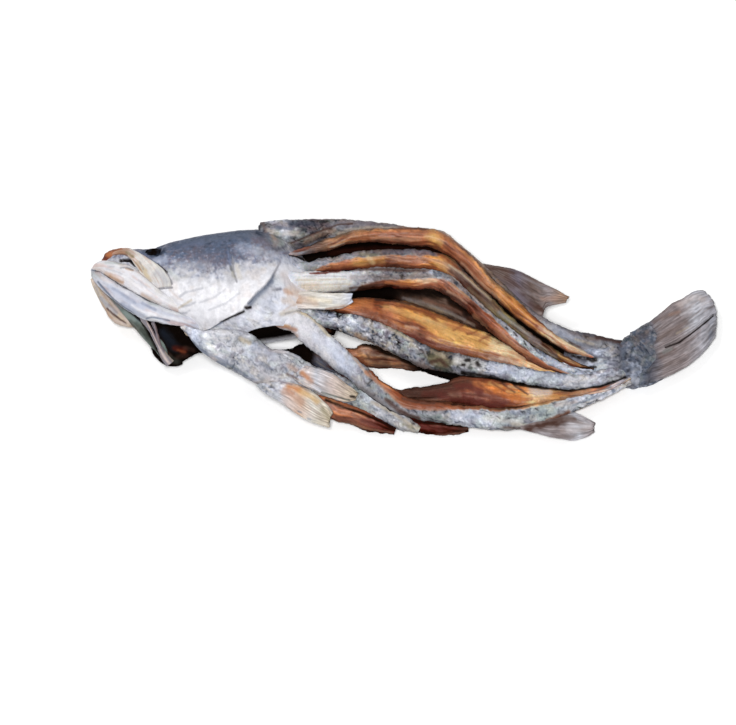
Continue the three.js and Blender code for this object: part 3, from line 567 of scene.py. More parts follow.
SIDE_SKIN = [(-128, 14, 51, 6, 3, 0), (-110, 12.5, 47, 7.5, 5.5, 5), (-86, 9.5, 43.5, 8.5, 7, 12),
    (-64, 5, 42, 9.5, 7, 15), (-38, -2.4, 40, 11, 7, 15), (-10, -14, 37, 11.4, 7, 15),
    (22, -30, 33, 10.5, 7, 15), (56, -37.5, 30, 10, 7, 15), (96, -43.5, 26, 8.5, 6, 10),
    (136, -51.5, 21, 8, 6, 5), (176, -55, 17, 8.5, 7, 0), (206, -50, 15, 10, 8, 0),
    (228, -42, 14, 8.5, 4.5, 0)]
GIRDLE_STRIP = [(-140, 12, 54, 6, 3, 0), (-124, 9, 51, 9.5, 5, 0), (-108, 5.5, 48.5, 11, 7, 0),
    (-94, -6, 48, 12.6, 8, 0), (-79, -18.2, 45, 12.2, 7, 0), (-62, -34, 40, 11.2, 7, 0),
    (-42.5, -49.6, 35, 10.6, 7, 0), (-21.5, -66, 30, 10.2, 6, 0), (2, -79.6, 25, 9.4, 6, 6),
    (34, -85, 21, 10.2, 6, 8), (70, -89.2, 17, 10.8, 6, 8), (106, -91.5, 15, 11.5, 6, 8),
    (141, -86, 14, 11, 6, 5), (171, -76, 14, 7.5, 6, 0), (201, -65, 13, 5.2, 6, 0),
    (226, -53.5, 12, 5, 4, 0)]
BELLY_FLESH = [(-22, -61, 26, 3, 5, 0), (-6, -66.5, 24, 5, 5, -10), (18, -67.5, 22, 8, 6, -15),
    (41, -66.5, 21, 12, 8, -20), (60, -64, 20, 16, 10, -20), (86, -66.5, 19.5, 16, 9, -20),
    (116, -70, 18, 13, 7, -15), (146, -69.5, 16.5, 8.5, 6, -10), (176, -67, 16, 5, 5, 0),
    (202, -61.5, 16, 3.6, 5, 0), (226, -51, 15, 1.8, 4, 0)]
BELLY_SKIN = [(-110, -46, 29, 12, 7, 0), (-79, -57, 24, 13.8, 7, 0), (-54, -67.8, 19, 13.4, 6, 0),
    (-28, -80.5, 14, 11.8, 6, 0), (-2, -94.5, 10, 8.4, 5, 0), (15, -103, 7, 3.5, 4, 0)]
LOWEST_FLESH = [(-90, -73, 18, 8, 5, 0), (-69, -82.5, 15, 10, 5, 0), (-49, -88.5, 12, 10, 5, 0),
    (-29, -96.5, 9, 8.5, 5, 0), (-9, -104, 6, 4, 4, 0)]
BELLY_LINING = [(-18, -84, 12, 5, 5, 0), (8, -95, 8, 8, 5, 0), (34, -100, 6, 8, 5, 0),
    (54, -101.5, 5, 5.5, 4, 0), (64, -101.5, 5, 3, 4, 0)]
FAR_BACK = [(-118, 70, 24, 12, 9, 10), (-80, 76, 20, 13, 8, 15), (-40, 80, 18, 14, 8, 15),
    (0, 76, 17, 16, 8, 15), (34, 65, 16, 20, 8, 15), (60, 45, 14, 20, 8, 15), (92, 20, 12, 17, 7, 12),
    (124, -4, 11, 14, 7, 8), (156, -24, 11, 14, 8, 4), (192, -36, 11, 14, 9, 0)]
FAR_UPPER = [(-116, 50, 14, 15, 8, 10), (-74, 48, 10, 18, 6, 18), (-34, 39, 8, 18, 6, 18),
    (6, 28, 7, 18, 6, 18), (46, 14, 7, 19, 6, 18), (86, -6, 7, 16, 6, 15), (126, -26, 8, 13, 6, 10),
    (166, -41, 9, 11, 7, 5), (200, -42, 10, 11, 8, 0)]
FAR_MIDDLE = [(-92, -24, 14, 7, 6, 12), (-52, -29.5, 10, 8.5, 5, 16), (-40, -28, 9, 12, 5, 16),
    (-29, -30, 8, 12, 5, 16),
    (-4, -33, 8, 9, 5, 16), (26, -40, 8, 7, 5, 14), (56, -48.5, 9, 7.5, 5, 10), (96, -57, 9, 8, 5, 5),
    (136, -61, 10, 8, 6, 0), (176, -63, 10, 8, 6, 0), (206, -55, 11, 8, 7, 0)]
FAR_LOWER = [(-132, -29.5, 22, 6, 6, 0), (-112, -31, 18, 10.5, 6, 0), (-98, -31.5, 14, 15, 6, 8),
    (-82, -40, 11, 12, 6, 12), (-64, -49, 8, 10, 5, 15), (-44, -60, 6, 10, 5, 15),
    (-19, -76, 6, 8, 5, 10), (4, -87, 6, 7, 5, 0)]
FIRST_DORSAL = [(-146.5, 106.3, 37, 1.6, 2, 0), (-141, 105.3, 37, 3, 2, 0), (-128, 103.5, 38, 5.5, 2.2, 0),
    (-100, 105, 39, 5.5, 2.4, 0), (-70, 106.2, 40, 4, 2.4, 0), (-34, 104.5, 41, 2.5, 2, 0)]
TAIL_ROOT = [(160, -34, 14, 12, 8, 0), (180, -37, 14, 15, 9.5, 0), (200, -38, 14, 18.5, 11, 0),
    (216, -38, 13.5, 22.5, 12, 0), (230, -35.5, 13.5, 26.5, 12, 0), (243, -30.2, 12.5, 28.5, 8, 0),
    (253, -22.5, 12, 27.5, 3.6, 0), (262, -16.5, 11.5, 26, 1.2, 0)]
# Stations of the sheets: across, up, height of one edge, the same of the other edge, half thickness
MAXILLA = [(-294, 78.5, 1, -298, 72, 0, 2.6), (-279, 79.5, 2, -283, 73.5, 1, 2.6),
    (-267, 75, 2.5, -275, 68, 1.5, 2.6), (-254, 67.5, 3, -268, 58.5, 2, 2.4),
    (-243, 59.5, 3, -262, 49.5, 2.5, 2.2), (-235, 49.5, 2.5, -256.5, 41, 2.5, 2),
    (-232.5, 41, 2, -254.5, 38.5, 2, 1.6)]
SECOND_DORSAL = [(75, 66, 35, 79, 58, 34, 1.8), (88, 63.5, 34, 85, 53, 33, 2.2),
    (101, 61.5, 33.5, 95, 43, 32, 2.2), (115, 58, 33, 106, 32, 31, 2.2), (128, 52, 32, 119, 19, 29, 2),
    (139, 46, 31, 137, 8.5, 27, 1.8), (148, 41.5, 30, 143, 19, 27, 1.6), (158, 36.5, 29, 149, 22, 27, 1.5),
    (167, 31, 27, 163, 25.5, 27, 1.2)]
ANAL = [(114, -93, 13, 116, -102, 11, 3), (126, -91, 13, 130, -105, 10, 3.3),
    (140, -88.5, 13, 142, -108.5, 9, 3), (153, -86, 12, 155, -111, 8, 2.6),
    (166, -85, 11, 168, -112.5, 7, 2.2), (178, -89, 9, 180, -110, 6, 1.8),
    (188.5, -95, 8, 187.5, -105, 6, 1.4)]
PECTORAL = [(-124, 35, 59.5, -121, 25, 57.5, 3), (-114, 36, 58.5, -115, 19, 56.5, 2.6),
    (-97, 35.5, 57.5, -96, 17.5, 55, 2.4), (-80, 34, 56.5, -77, 17.5, 53.5, 2),
    (-65, 34, 56, -61, 19.5, 52.5, 1.6), (-53, 34, 56, -53, 24, 53.5, 1.2)]
PELVIC_UPPER = [(-110, -38, 38, -117, -47, 37, 2.5), (-97, -39.5, 41, -105, -56, 39, 3),
    (-82, -43, 41, -90, -63, 38.5, 3), (-68, -49, 39, -74, -70.5, 35, 2.5),
    (-54, -59, 35, -59, -74.5, 32, 2), (-47, -65.5, 33, -50, -72.5, 31, 1.5)]
PELVIC_LOWER = [(-131, -48, 35, -147, -59, 32, 3), (-119, -52.5, 36, -137, -67, 32.5, 3.6),
    (-105, -58, 34, -121, -76, 31, 3.6), (-91, -64, 31, -106, -87, 27, 3),
    (-80, -73.5, 27, -90, -95, 23, 2.4), (-73, -82, 25, -76, -99, 20, 1.8)]
TAIL_UPPER_LOBE = [(230, -6, 13, 240, -30, 12, 6), (244, 1.5, 12.5, 253, -25, 12, 5),
    (257, 11.5, 12, 266, -19, 12, 4), (271, 22, 12, 280, -11.5, 11.5, 3.4),
    (284, 30, 11.5, 294, -3, 11, 3), (296, 36.5, 11, 308, 8, 10.5, 2.6),
    (304, 38, 11, 317.5, 14.5, 10, 2.2)]
TAIL_LOWER_LOBE = [(238, -25, 12, 236, -59, 12, 6), (251, -19, 11, 249, -55, 11, 5),
    (265, -14, 10, 264, -49.5, 10, 4), (280, -6, 9.5, 281, -41.5, 9.5, 3.4), (294, 3, 9, 295, -32, 9, 3),
    (307, 12.5, 8.5, 307, -21, 8.5, 2.6), (317.5, 18, 8, 315, -11, 8, 2.2)]
ISTHMUS_FOLD = [(-251, 5, 44, 1.8, 2.5, 0), (-248, -3, 41, 1.9, 2.5, 0), (-246, -12, 36, 1.8, 2.5, 0),
    (-243.5, -21, 30, 1.4, 2, 0)]


# Materials

def node(tree, kind, values=(), **settings):
    """A node with its settings and the values of its inputs."""
    made = tree.nodes.new("ShaderNode" + kind)
    for key, value in settings.items():
        setattr(made, key, value)
    for key, value in values:
        made.inputs[key].default_value = value
    return made


def mapped(tree, low, high, to_low, to_high, **settings):
    """A node that maps the stretch from low to high onto another."""
    return node(tree, "MapRange", (("From Min", low), ("From Max", high),
                                   ("To Min", to_low), ("To Max", to_high)), **settings)


def link(tree, wires):
    """Joins an output of one node to an input of another, for each wire."""
    for source, output, target, into in wires:
        tree.links.new(source.outputs[output], target.inputs[into])


def fish_material(name, bump, gloss, glow, speckle):
    """A dry surface with a fine grain, which takes its colour and its dullness from the mesh."""
    m = bpy.data.materials.new(name)
    m.use_nodes = True
    t = m.node_tree
    t.nodes.clear()
    out = node(t, "OutputMaterial")
    bsdf = node(t, "BsdfPrincipled", (
        ("Subsurface Weight", glow), ("Subsurface Radius", (1.0, 0.35, 0.15)), ("Subsurface Scale", 0.002)))
    tint = node(t, "Attribute", attribute_name="tint")
    dull = node(t, "Attribute", attribute_name="dull")
    where = node(t, "TexCoord")
    grain = node(t, "TexNoise", (("Scale", 700), ("Detail", 4)))
    soft = node(t, "TexNoise", (("Scale", 160), ("Detail", 3)))
    tone = mapped(t, 0.25, 0.75, 0.90, 1.09)
    speck = mapped(t, 0.3, 0.7, 1 - speckle, 1 + 0.8 * speckle)
    both = node(t, "Math", operation="MULTIPLY")
    mix = node(t, "Mix", data_type="RGBA", blend_type="MULTIPLY")
    mix.inputs[0].default_value = 1.0
    lift = node(t, "Bump", (("Strength", bump), ("Distance", 0.0006)))
    shine = mapped(t, 0.7, 0.95, gloss, 0.0, interpolation_type="SMOOTHSTEP")
    link(t, (
        (where, "Object", grain, "Vector"), (where, "Object", soft, "Vector"),
        (soft, "Fac", tone, "Value"), (grain, "Fac", speck, "Value"),
        (tone, "Result", both, 0), (speck, "Result", both, 1),
        (tint, "Color", mix, 6), (both, "Value", mix, 7), (mix, 2, bsdf, "Base Color"),
        (dull, "Fac", bsdf, "Roughness"), (dull, "Fac", shine, "Value"),
        (shine, "Result", bsdf, "Specular IOR Level"),
        (grain, "Fac", lift, "Height"), (lift, "Normal", bsdf, "Normal"),
        (bsdf, "BSDF", out, "Surface")))
    return m


SKIN = fish_material("dried_skin", 0.3, 0.25, 0.0, 0.10)
BONE = fish_material("dried_bone", 0.2, 0.3, 0.0, 0.05)
FLESH = fish_material("dried_flesh", 0.35, 0.28, 0.10, 0.10)
FIN = fish_material("dried_fin", 0.2, 0.3, 0.0, 0.08)
WET = fish_material("dried_eye", 0.05, 0.6, 0.0, 0.0)


# The head

GILL_EDGE = [(150, 321), (165, 323), (177, 327), (188, 329), (203, 329.5), (212, 327), (225, 320),
             (236, 315), (243, 311.5), (249, 304), (257, 294), (265, 287), (270, 281), (274, 274),
             (277, 268), (281, 260), (284, 250)]


def trunk():
    """The head with its gill cover, nape and shoulder."""
    cell, girth, square = 0.8 * FINE, 250, 2.15
    place, run = even([(x, (t + b) / 2, MIDDLE) for x, t, b, _ in TRUNK], cell)
    centre, height, half = trunk_section(place)
    count = int(girth / cell)
    angle = 2 * math.pi * np.arange(count) / count
    power = 2 / square
    cos, sin = np.cos(angle), np.sin(angle)
    y = np.sign(cos) * np.abs(cos) ** power
    z = np.sign(sin) * np.abs(sin) ** power
    rings = np.repeat(centre[:, None], count, 1)
    rings[..., 1] += height[:, None] * y[None]
    rings[..., 2] += half[:, None] * z[None]
    low = (rings[..., 2] < MIDDLE).reshape(-1)
    p = Piece("head", rings, run[:, None], angle[None] / math.pi, girth / 2, low)
    edge = p.away(GILL_EDGE)
    inside = step(-0.6, 0.6, edge) * (p.x < 300)
    big, mid, fine = layers(p.q, 20, 3, 73), layers(p.q, 6, 2, 75), layers(p.q, 2.6, 2, 76)
    nape = p.away([(60, 248), (130, 252), (150, 257), (166, 261), (180, 262), (200, 265), (222, 266),
                   (236, 260), (250, 255), (262, 254), (276, 254), (300, 250), (340, 244)])
    nape = nape + 7 * layers(p.q, 13, 2, 71) + 6 * layers(p.q, 5, 2, 72) + 4 * layers(p.q, 2.6, 2, 70)
    p.wash("white")
    p.wash("pale", 0.5)
    p.wash("lilac", 0.25 + 0.4 * p.patches(-0.1, 0.5, 18, 77) * step(0.3, 0.9, 1 - inside))
    p.wash("white", 0.55 * inside)
    p.wash("chalk", 0.5 * inside * step(258, 290, p.y))
    p.skin(1 - inside, 6.0, 0.5)
    p.wash("white", 0.6 * step(266, 292, p.x) * step(250, 266, p.y) * step(0, 0.2, p.face))
    back = 1 - 0.6 * step(238, 257, p.x)
    high = step(-0.2, 0.2, p.face)
    p.wash("silver", 0.60 * step(-30, -8, nape))
    p.wash("sand", 0.25 * step(-24, -8, nape) * p.patches(0.0, 0.4, 9, 74))
    p.wash("lilac", 0.55 * step(-18, -3, nape))
    p.wash("fog", 0.65 * step(-12, 0, nape))
    p.wash("nape", 0.85 * back * step(-7, 5, nape))
    p.wash("dusk", 0.85 * back * step(-4, 9, nape) * step(-0.35, 0.15, mid + 0.5 * fine))
    p.wash("plum", 0.70 * step(-12, 3, nape) * p.patches(-0.05, 0.3, 6, 78))
    p.wash("nape", 0.6 * step(-14, -3, nape) * p.patches(0.05, 0.35, 3.6, 80))
    p.wash("lilac", 0.5 * step(-4, 4, nape) * (1 - step(12, 24, nape)) * p.patches(0.1, 0.4, 3.6, 79))
    p.wash("nape", 0.5 * back * step(10, 22, nape))
    p.wash("dusk", 0.75 * back * step(4, 18, nape) * step(-0.5, 0.1, mid))
    p.wash("navy", 0.45 * back * step(10, 24, nape) * p.patches(0.0, 0.4, 7, 82))
    p.wash("dusk", 0.5 * (1 - back) * step(2, 14, nape) * step(0.0, 0.3, fine + 0.5 * mid))
    band = step(-10, 4, nape) * (1 - step(14, 26, nape))
    p.wash("plum", 0.4 * band * p.patches(0.05, 0.3, 4.5, 85))
    p.shade(step(-16, 2, nape) * (0.24 * mid + 0.26 * fine))
    calm = inside * (1 - step(-16, -2, nape))
    p.shade(calm * (0.05 * big + 0.07 * mid + 0.07 * fine))
    p.wash("blush", calm * 0.14 * p.patches(0.1, 0.5, 15, 79))
    p.depth += inside * (0.5 * big + 0.35 * mid + 0.14 * fine)
    lid = step(252, 286, p.y)
    off = np.abs(edge)
    p.depth += lid * (inside * 3.0 * np.exp(-off / 34) - 1.4 * (1 - inside) * np.exp(-off / 3))
    ridge = step(-2.5, 2.5, p.away([(240, 226), (261, 228), (264, 236), (267, 243), (273, 248), (286, 250),
                                    (300, 252)]))
    ridge = ridge * (p.x < 305) * high
    p.tint([(258, "plum"), (266, "ash"), (276, "dove"), (288, "fog"), (300, "ash")], ridge)
    p.skin(ridge, 6.0, 1.1)
    # Painted shade: below this rim the trunk is sunk and painted black, as the deep shade under the shoulder
    rim = p.away([(236, 336), (245, 334), (252, 330.5), (260, 328), (275, 325.5), (286, 326.5),
                  (292, 329.5), (300, 333)])
    shaded_hollow = step(0, 2.2, -rim) * step(238, 246, p.x) * (1 - step(302, 308, p.x)) * step(-0.3, 0.1, p.face)
    p.wash("soot", shaded_hollow)
    p.depth -= 6 * shaded_hollow
    p.paint([
        ("plum", 8, 0.35, [(196, 250), (206, 260), (218, 260)]),
        ("silver", 6, 0.5, [(178, 265), (190, 265), (202, 266)]),
        ("silver", 4, 0.5, [(146, 262), (154, 268), (160, 276)]),
        ("slate", 4, 0.6, [(200, 240), (222, 236), (250, 234)]),
        ("nape", 4, 0.6, [(180, 243), (200, 241)]),
        ("dim", 3.6, 0.9, [(252, 231), (258, 233), (263, 236)], 0, 1.4, 0.9),
        ("navy", 2.0, 0.8, [(255, 231), (260, 233.5)], 0, 1.4, 0.9),
        ("dusk", 3.2, 0.6, [(172, 246), (188, 240), (206, 235), (228, 232), (250, 230)], 0, 1.2),
        ("slate", 2.4, 0.6, [(266, 233), (270, 242)], 0, 1.2),
        ("sage", 3.4, 0.6, [(277, 232), (281, 243)], 0, 1.2),
        ("tan", 2.0, 0.4, [(270, 232), (274, 238)], 0, 1.2),
        ("plum", 4, 0.6, [(254, 239), (262, 241), (268, 246)]),
        ("lilac", 7, 0.55, [(240, 247), (254, 251)]),
        ("silver", 6, 0.5, [(256, 250), (272, 254)]),
        ("lilac", 5, 0.4, [(272, 256), (290, 260)]),
        ("white", 6, 0.6, [(282, 270), (296, 272)]),
        ("white", 7, 0.6, [(192, 312), (214, 306)]),
        ("soot", 1.6, 0.95, [(290, 253.5), (297, 255), (304, 258.5)], -1.0, 0.8, 0.4),
        ("nape", 1.3, 0.8, [(227, 250), (229, 260), (232, 270)], -0.9),
        ("ash", 1.0, 0.9, [(232, 256), (233, 265), (234.5, 274), (237.5, 283)], -0.9),
        ("slate", 1.6, 0.7, [(238, 251), (244, 260)], -0.7),
        ("olive", 2, 0.35, [(231, 267), (234, 277)]),
        ("ash", 4, 0.3, [(226, 268), (232, 282)]),
        ("cream", 3, 0.3, [(237, 266), (240, 278)]),
        # Painted shadow of the gill cover's raised edge: the slate, black and fog strokes from here to the
        # fog stroke
        ("slate", 2.6, 0.8, [(251, 305), (258, 297), (266, 290), (272, 281)]),
        ("silver", 6, 0.6, [(256, 304), (264, 297), (272, 290)]),
        ("soot", 1.9, 1.0, [(247.5, 308), (251, 307.4)], -0.8, 0.6),
        ("soot", 1.3, 1.0, [(222, 322), (228, 319), (236, 315.6), (244, 312)], -0.8, 0.5, 0.2),
        ("slate", 1.1, 0.9, [(196, 330.5), (205, 330.3), (213, 327.6), (222, 322.5)], -0.5, 0.7, 0.3),
        ("slate", 0.9, 0.8, [(176, 328.6), (186, 330.2), (196, 330.4)], -0.4),
        ("slate", 1.2, 0.75, [(249, 304), (257, 295), (265, 288), (270, 282), (274, 275)], -0.5),
        ("fog", 1.2, 0.7, [(274, 275), (277, 268), (280, 262)], -0.2),
        ("dim", 1.9, 0.9, [(277, 289.4), (281, 289)], -1.0, 1.2),
        ("ash", 1.3, 0.5, [(273, 290), (277, 289.4)], -0.3),
        ("clay", 2.4, 0.5, [(285, 290.5), (292, 294)]),
        ("blush", 6, 0.6, [(290, 291), (312, 298)]),
        ("pale", 7, 0.5, [(286, 272), (300, 280)]),
        ("tan", 1.4, 0.3, [(284, 311), (291, 306), (298, 304)]),
        ("blush", 4, 0.4, [(284, 300), (294, 303)]),
        ("sand", 2.6, 0.6, [(282, 314), (292, 311.5), (302, 311)], 0, 1.2),
        ("ash", 1.0, 0.6, [(286, 314), (294, 312), (304, 310), (322, 310)], -0.6),
        ("dim", 2.2, 0.9, [(272.5, 247), (277, 248), (281, 247), (285, 245)], -0.8, 1.2, 0.6),
        ("lilac", 4, 0.4, [(262, 302), (276, 296)]),
        ("pink", 5, 0.5, [(284, 276), (292, 284)]),
        ("silver", 1.4, 0.8, [(180, 297), (186, 292.5), (193, 291), (203, 288.5)], -0.4),
        ("silver", 1.3, 0.8, [(182, 306.5), (190, 305), (196, 302.5)], -0.4),
        ("silver", 1.3, 0.7, [(176, 313), (186, 312.5), (190, 310)], -0.4),
        ("silver", 1.2, 0.6, [(200, 303), (214, 298), (226, 290)], -0.3),
        ("silver", 1.1, 0.6, [(210, 310), (226, 304), (240, 294)], -0.3),
        ("pink", 1.2, 0.5, [(170, 290), (178, 298), (183, 300)], -0.3),
        ("sand", 1.2, 0.6, [(160, 306), (172, 311), (182, 306), (192, 300)]),
        ("white", 5, 0.7, [(158, 292), (168, 297), (176, 302)]),
        ("mist", 3, 0.4, [(168, 270), (176, 278)]),
        ("nape", 3.5, 0.7, [(152, 257), (160, 259), (166, 262)]),
        ("lilac", 4.5, 0.6, [(153, 261), (164, 258)]),
        ("plum", 4, 0.6, [(126, 250), (138, 252), (146, 255)]),
        ("nape", 3, 0.7, [(140, 252), (147, 256)]),
        ("nape", 3.0, 0.9, [(138, 251.5), (146, 253.5)], 0, 1.0),
        ("navy", 2.2, 0.6, [(141, 251), (147, 252)], 0, 1.0),
        ("soot", 4.6, 1.0, [(149, 250), (155, 250)], -2.4, 0.6, 0.3),
        ("navy", 3.0, 0.85, [(150, 254.5), (158, 252.5), (162, 250)], 0, 1.0),
        # Painted shadow: the slate line, the black line and the ash lines after it run along the maxilla's
        # edge
        ("slate", 1.6, 0.9, [(134, 251.5), (143, 256.5), (150, 260.5), (157, 264.5)], -1.2),
        ("soot", 1.3, 0.9, [(156, 264), (161, 268), (166, 272)], -1.4, 0.6, 0.2),
        ("ash", 1.2, 0.8, [(166, 272), (169, 278), (172, 284)], -0.8),
        ("ash", 1.1, 0.9, [(150, 288.6), (160, 288.4), (172, 287.6)], -1.0, 0.6, 0.2),
        ("ash", 4, 0.5, [(104, 263), (118, 265), (134, 272), (146, 284)]),
        # Painted shade: the black mouth slit and the black band below it, inside the mouth between the jaws
        ("soot", 1.8, 1.0, [(118, 259.5), (127, 259.2), (134, 264.5)], -2.4, 0.5, 0.2),
        ("soot", 5, 1.0, [(100, 270), (116, 277), (132, 288)], -1.2),
        ("ash", 5, 0.9, [(138, 293), (150, 301), (164, 309)], -0.6),
    ])
    dark = step(292, 318, p.x)
    p.wash("rust", 0.6 * dark * (1 - step(-0.2, 0.3, p.face)))
    p.build(BONE, 0.5 + 0.1 * layers(p.q, 10, 2, 81))


def maxilla(twin):
    """A plate of the upper jaw."""
    p = sheet("maxilla" + SIDES[twin], edges_on_trunk(MAXILLA), mirror=twin, cell=0.7, torn=0.2)
    p.wash("pale")
    p.wash("bone", 0.6)
    p.flesh(1.0, 40, 1.2, 0.22)
    p.depth *= 0.4
    p.paint([
        ("clay", 5.0, 0.75, [(105, 253), (112, 251), (120, 250)], 0, 0.9),
        ("umber", 1.8, 0.5, [(108, 255), (116, 253), (124, 254)]),
        ("tan", 4.0, 0.6, [(116, 251), (124, 250), (130, 255)]),
        ("olive", 1.4, 0.6, [(124, 251), (131, 256)]),
        ("pink", 1.2, 0.7, [(131, 258), (136, 265), (140, 270)]),
        ("sand", 2.8, 0.7, [(136, 262), (143, 271), (149, 281)]),
        ("cream", 2.2, 0.45, [(141, 266), (147, 276)]),
        ("tan", 0.8, 0.7, [(131, 259), (137, 266), (141, 272)], -0.5),
        ("ash", 0.8, 0.5, [(138, 261), (142, 269)], -0.4),
        ("silver", 5, 0.6, [(158, 272), (166, 281)]),
        ("umber", 0.9, 0.8, [(133, 267), (140, 276), (145, 282), (150, 288)]),
        ("white", 3, 0.5, [(152, 284), (160, 285)]),
    ])
    p.build(BONE, 0.5)


def lip(twin):
    """A pale lip."""
    p = ribbon("lip" + SIDES[twin], LIP, mirror=twin, cell=0.8, torn=0.35)
    p.wash("pale")
    p.wash("white", 0.5)
    p.wash("bone", 0.4 * p.patches(0, 0.4, 14, 83))
    p.flesh(1.0, 34, 2.0, 0.16)
    p.depth *= 0.6
    p.paint([
        ("pink", 2.4, 0.6, [(92, 268), (100, 270), (108, 274)]),
        ("blush", 3.0, 0.75, [(104, 274), (112, 277), (121, 282)]),
        ("tan", 1.6, 0.55, [(108, 276), (116, 280), (122, 282)]),
        ("pink", 2.2, 0.6, [(142, 293), (152, 299), (160, 303)]),
        ("blush", 1.8, 0.5, [(142, 295), (150, 299)]),
        ("silver", 1.0, 0.6, [(106, 266), (112, 266)], -0.5),
        ("ash", 0.9, 0.9, [(119, 267.2), (126, 266.5), (132, 269)], -0.9),
        ("tan", 1.2, 0.6, [(125, 268), (132, 270)]),
        ("mist", 1.6, 0.6, [(104, 262), (122, 262.5)]),
        ("silver", 1.0, 0.5, [(104, 268), (118, 272), (130, 279), (142, 287)], -0.4),
        ("silver", 1.2, 0.6, [(138, 280), (146, 287)]),
        ("chalk", 2.0, 0.6, [(122, 275), (136, 285), (150, 294)]),
        ("sand", 1.2, 0.6, [(150, 304), (160, 307), (168, 311)]),
        # Painted shade: the slate line along the lip's lower edge, in the seam above the mandible
        ("slate", 1.0, 0.9, [(88, 269), (97, 272), (105, 277), (118, 285), (130, 291.5), (141, 297.5),
                             (150, 302.5), (157, 305.5), (166, 309.5), (174, 313)], -0.9, 0.6, 0.2),
    ] if not twin else [("ash", 9, 0.5, [(95, 300), (130, 330)])])
    p.build(BONE, 0.5)


def mandible(twin):
    """A bone of the lower jaw."""
    p = ribbon("mandible" + SIDES[twin], RIGHT_MANDIBLE if twin else MANDIBLE, cell=0.8, torn=0.35)
    p.wash("sand" if twin else "pale")
    p.wash("pink", 0.4 if twin else 0.0)
    p.wash("lilac", 0.0 if twin else 0.45)
    p.flesh(1.0, 34, 2.2, 0.2)
    p.depth *= 0.6
    p.paint([
        ("pink", 2.2, 0.7, [(90, 280), (94, 288)]),
        ("sand", 2.4, 0.5, [(94, 284), (98, 292)]),
        ("silver", 2.6, 0.8, [(98, 297), (106, 307), (113, 313)]),
        ("plum", 1.4, 0.45, [(106, 304), (114, 312)]),
        ("ash", 2.0, 0.5, [(92, 286), (98, 298), (104, 306)]),
        ("pink", 1.1, 0.9, [(92, 278), (100, 291), (110, 303), (120, 315), (128, 324)], 0.5),
        ("umber", 1.1, 0.95, [(104, 308), (110, 313.5), (118, 319.5), (123, 323)], -0.9, 0.6, 0.2),
        ("pink", 1.8, 0.8, [(110, 319), (116, 322), (124, 325)]),
        ("moss", 1.1, 0.8, [(98, 281), (103, 286), (108, 292)]),
        ("umber", 1.4, 0.4, [(128, 325), (140, 330), (150, 334)]),
    ] if twin else [
        ("mist", 3.0, 0.5, [(90, 273), (100, 276)]),
        ("chalk", 1.8, 0.6, [(100, 277), (112, 285), (128, 294)]),
        ("lilac", 4.6, 0.9, [(110, 288), (124, 297), (142, 307)]),
        ("nape", 1.6, 0.5, [(143, 303), (150, 307), (156, 310)]),
        ("nape", 1.6, 0.35, [(112, 288), (124, 295), (136, 303)]),
        ("chalk", 1.6, 0.6, [(132, 306), (144, 312), (156, 315)]),
        ("mist", 2.0, 0.5, [(150, 303), (158, 305)]),
        ("nape", 3.0, 0.4, [(122, 304), (134, 311), (144, 316)]),
        ("lilac", 2.6, 0.5, [(160, 312), (172, 316)]),
        ("chalk", 2.0, 0.5, [(150, 314), (170, 318), (190, 322)]),
        ("ash", 2.0, 0.5, [(88, 271), (89, 281)]),
        # Painted shade: the slate lines along the mandible's lower edge, in the seam below it
        ("slate", 1.3, 0.9, [(96, 281.5), (104, 290), (113, 299), (123, 307), (132, 313), (138, 318),
                             (146, 322)], -0.6, 0.7, 0.2),
        ("slate", 0.9, 0.8, [(147, 319), (152, 317.4), (160, 318.6), (170, 321)], -0.5),
    ])
    p.build(BONE, 0.48)


def snout():
    """The orange tip of the snout."""
    p = ribbon("snout", on_trunk(SNOUT), cell=0.7)
    p.wash("clay")
    p.flesh(1.0, 14, 2.0, 0.5)
    p.paint([
        ("rust", 3.0, 0.5, [(102, 256), (112, 254)]),
        ("orange", 2.2, 0.8, [(104, 254), (109, 252)]),
        ("clay", 2.4, 0.7, [(110, 252), (118, 250)]),
        ("red", 2.0, 0.7, [(100, 257), (104, 258)]),
        ("tan", 2.6, 0.6, [(118, 250), (128, 251)]),
    ])
    p.build(FLESH)


def mouth_floor():
    """The floor of the mouth."""
    p = ribbon("mouth_floor", GULAR, cell=0.8, torn=0.5)
    p.wash("sage")
    p.flesh(1.0, 40, 4.0, 0.3)
    p.paint([
        ("ash", 3.5, 0.7, [(103, 289), (112, 299), (118, 305)]),
        ("plum", 2.0, 0.4, [(108, 294), (116, 303)]),
        ("moss", 4.0, 0.6, [(128, 322), (138, 328), (146, 336)]),
        ("moss", 3.0, 0.8, [(140, 330), (148, 340), (155, 350)]),
        ("slate", 2.2, 0.7, [(120, 304), (130, 311), (138, 319)]),
        ("soot", 2.2, 0.95, [(121, 305), (131, 312), (140, 320), (147, 331), (154, 344),
                             (161, 357)], 0, 0.6),
        ("mist", 2.2, 0.45, [(122, 311), (132, 320)]),
    ])
    p.build(BONE, 0.5)


def isthmus():
    """The two thin strips that hang behind the floor of the mouth."""
    for k, rows in enumerate((ISTHMUS, ISTHMUS_FOLD)):
        p = ribbon("isthmus_%d" % k, rows, cell=0.6, torn=0.4)
        p.wash("ash")
        p.wash("plum", 0.4)
        p.flesh(1.0, 30, 1.6, 0.3)
        p.paint([
            ("pink", 0.9, 0.9, [(146, 319), (152, 331), (157, 343), (162, 354), (167, 362)]),
            ("pink", 1.6, 0.8, [(160, 350), (166, 360), (170, 365)]),
            ("sand", 1.8, 0.7, [(166, 352), (172, 360), (175, 364)]),
            ("plum", 1.2, 0.4, [(152, 326), (156, 338)]),
        ])
        p.build(BONE, 0.5)


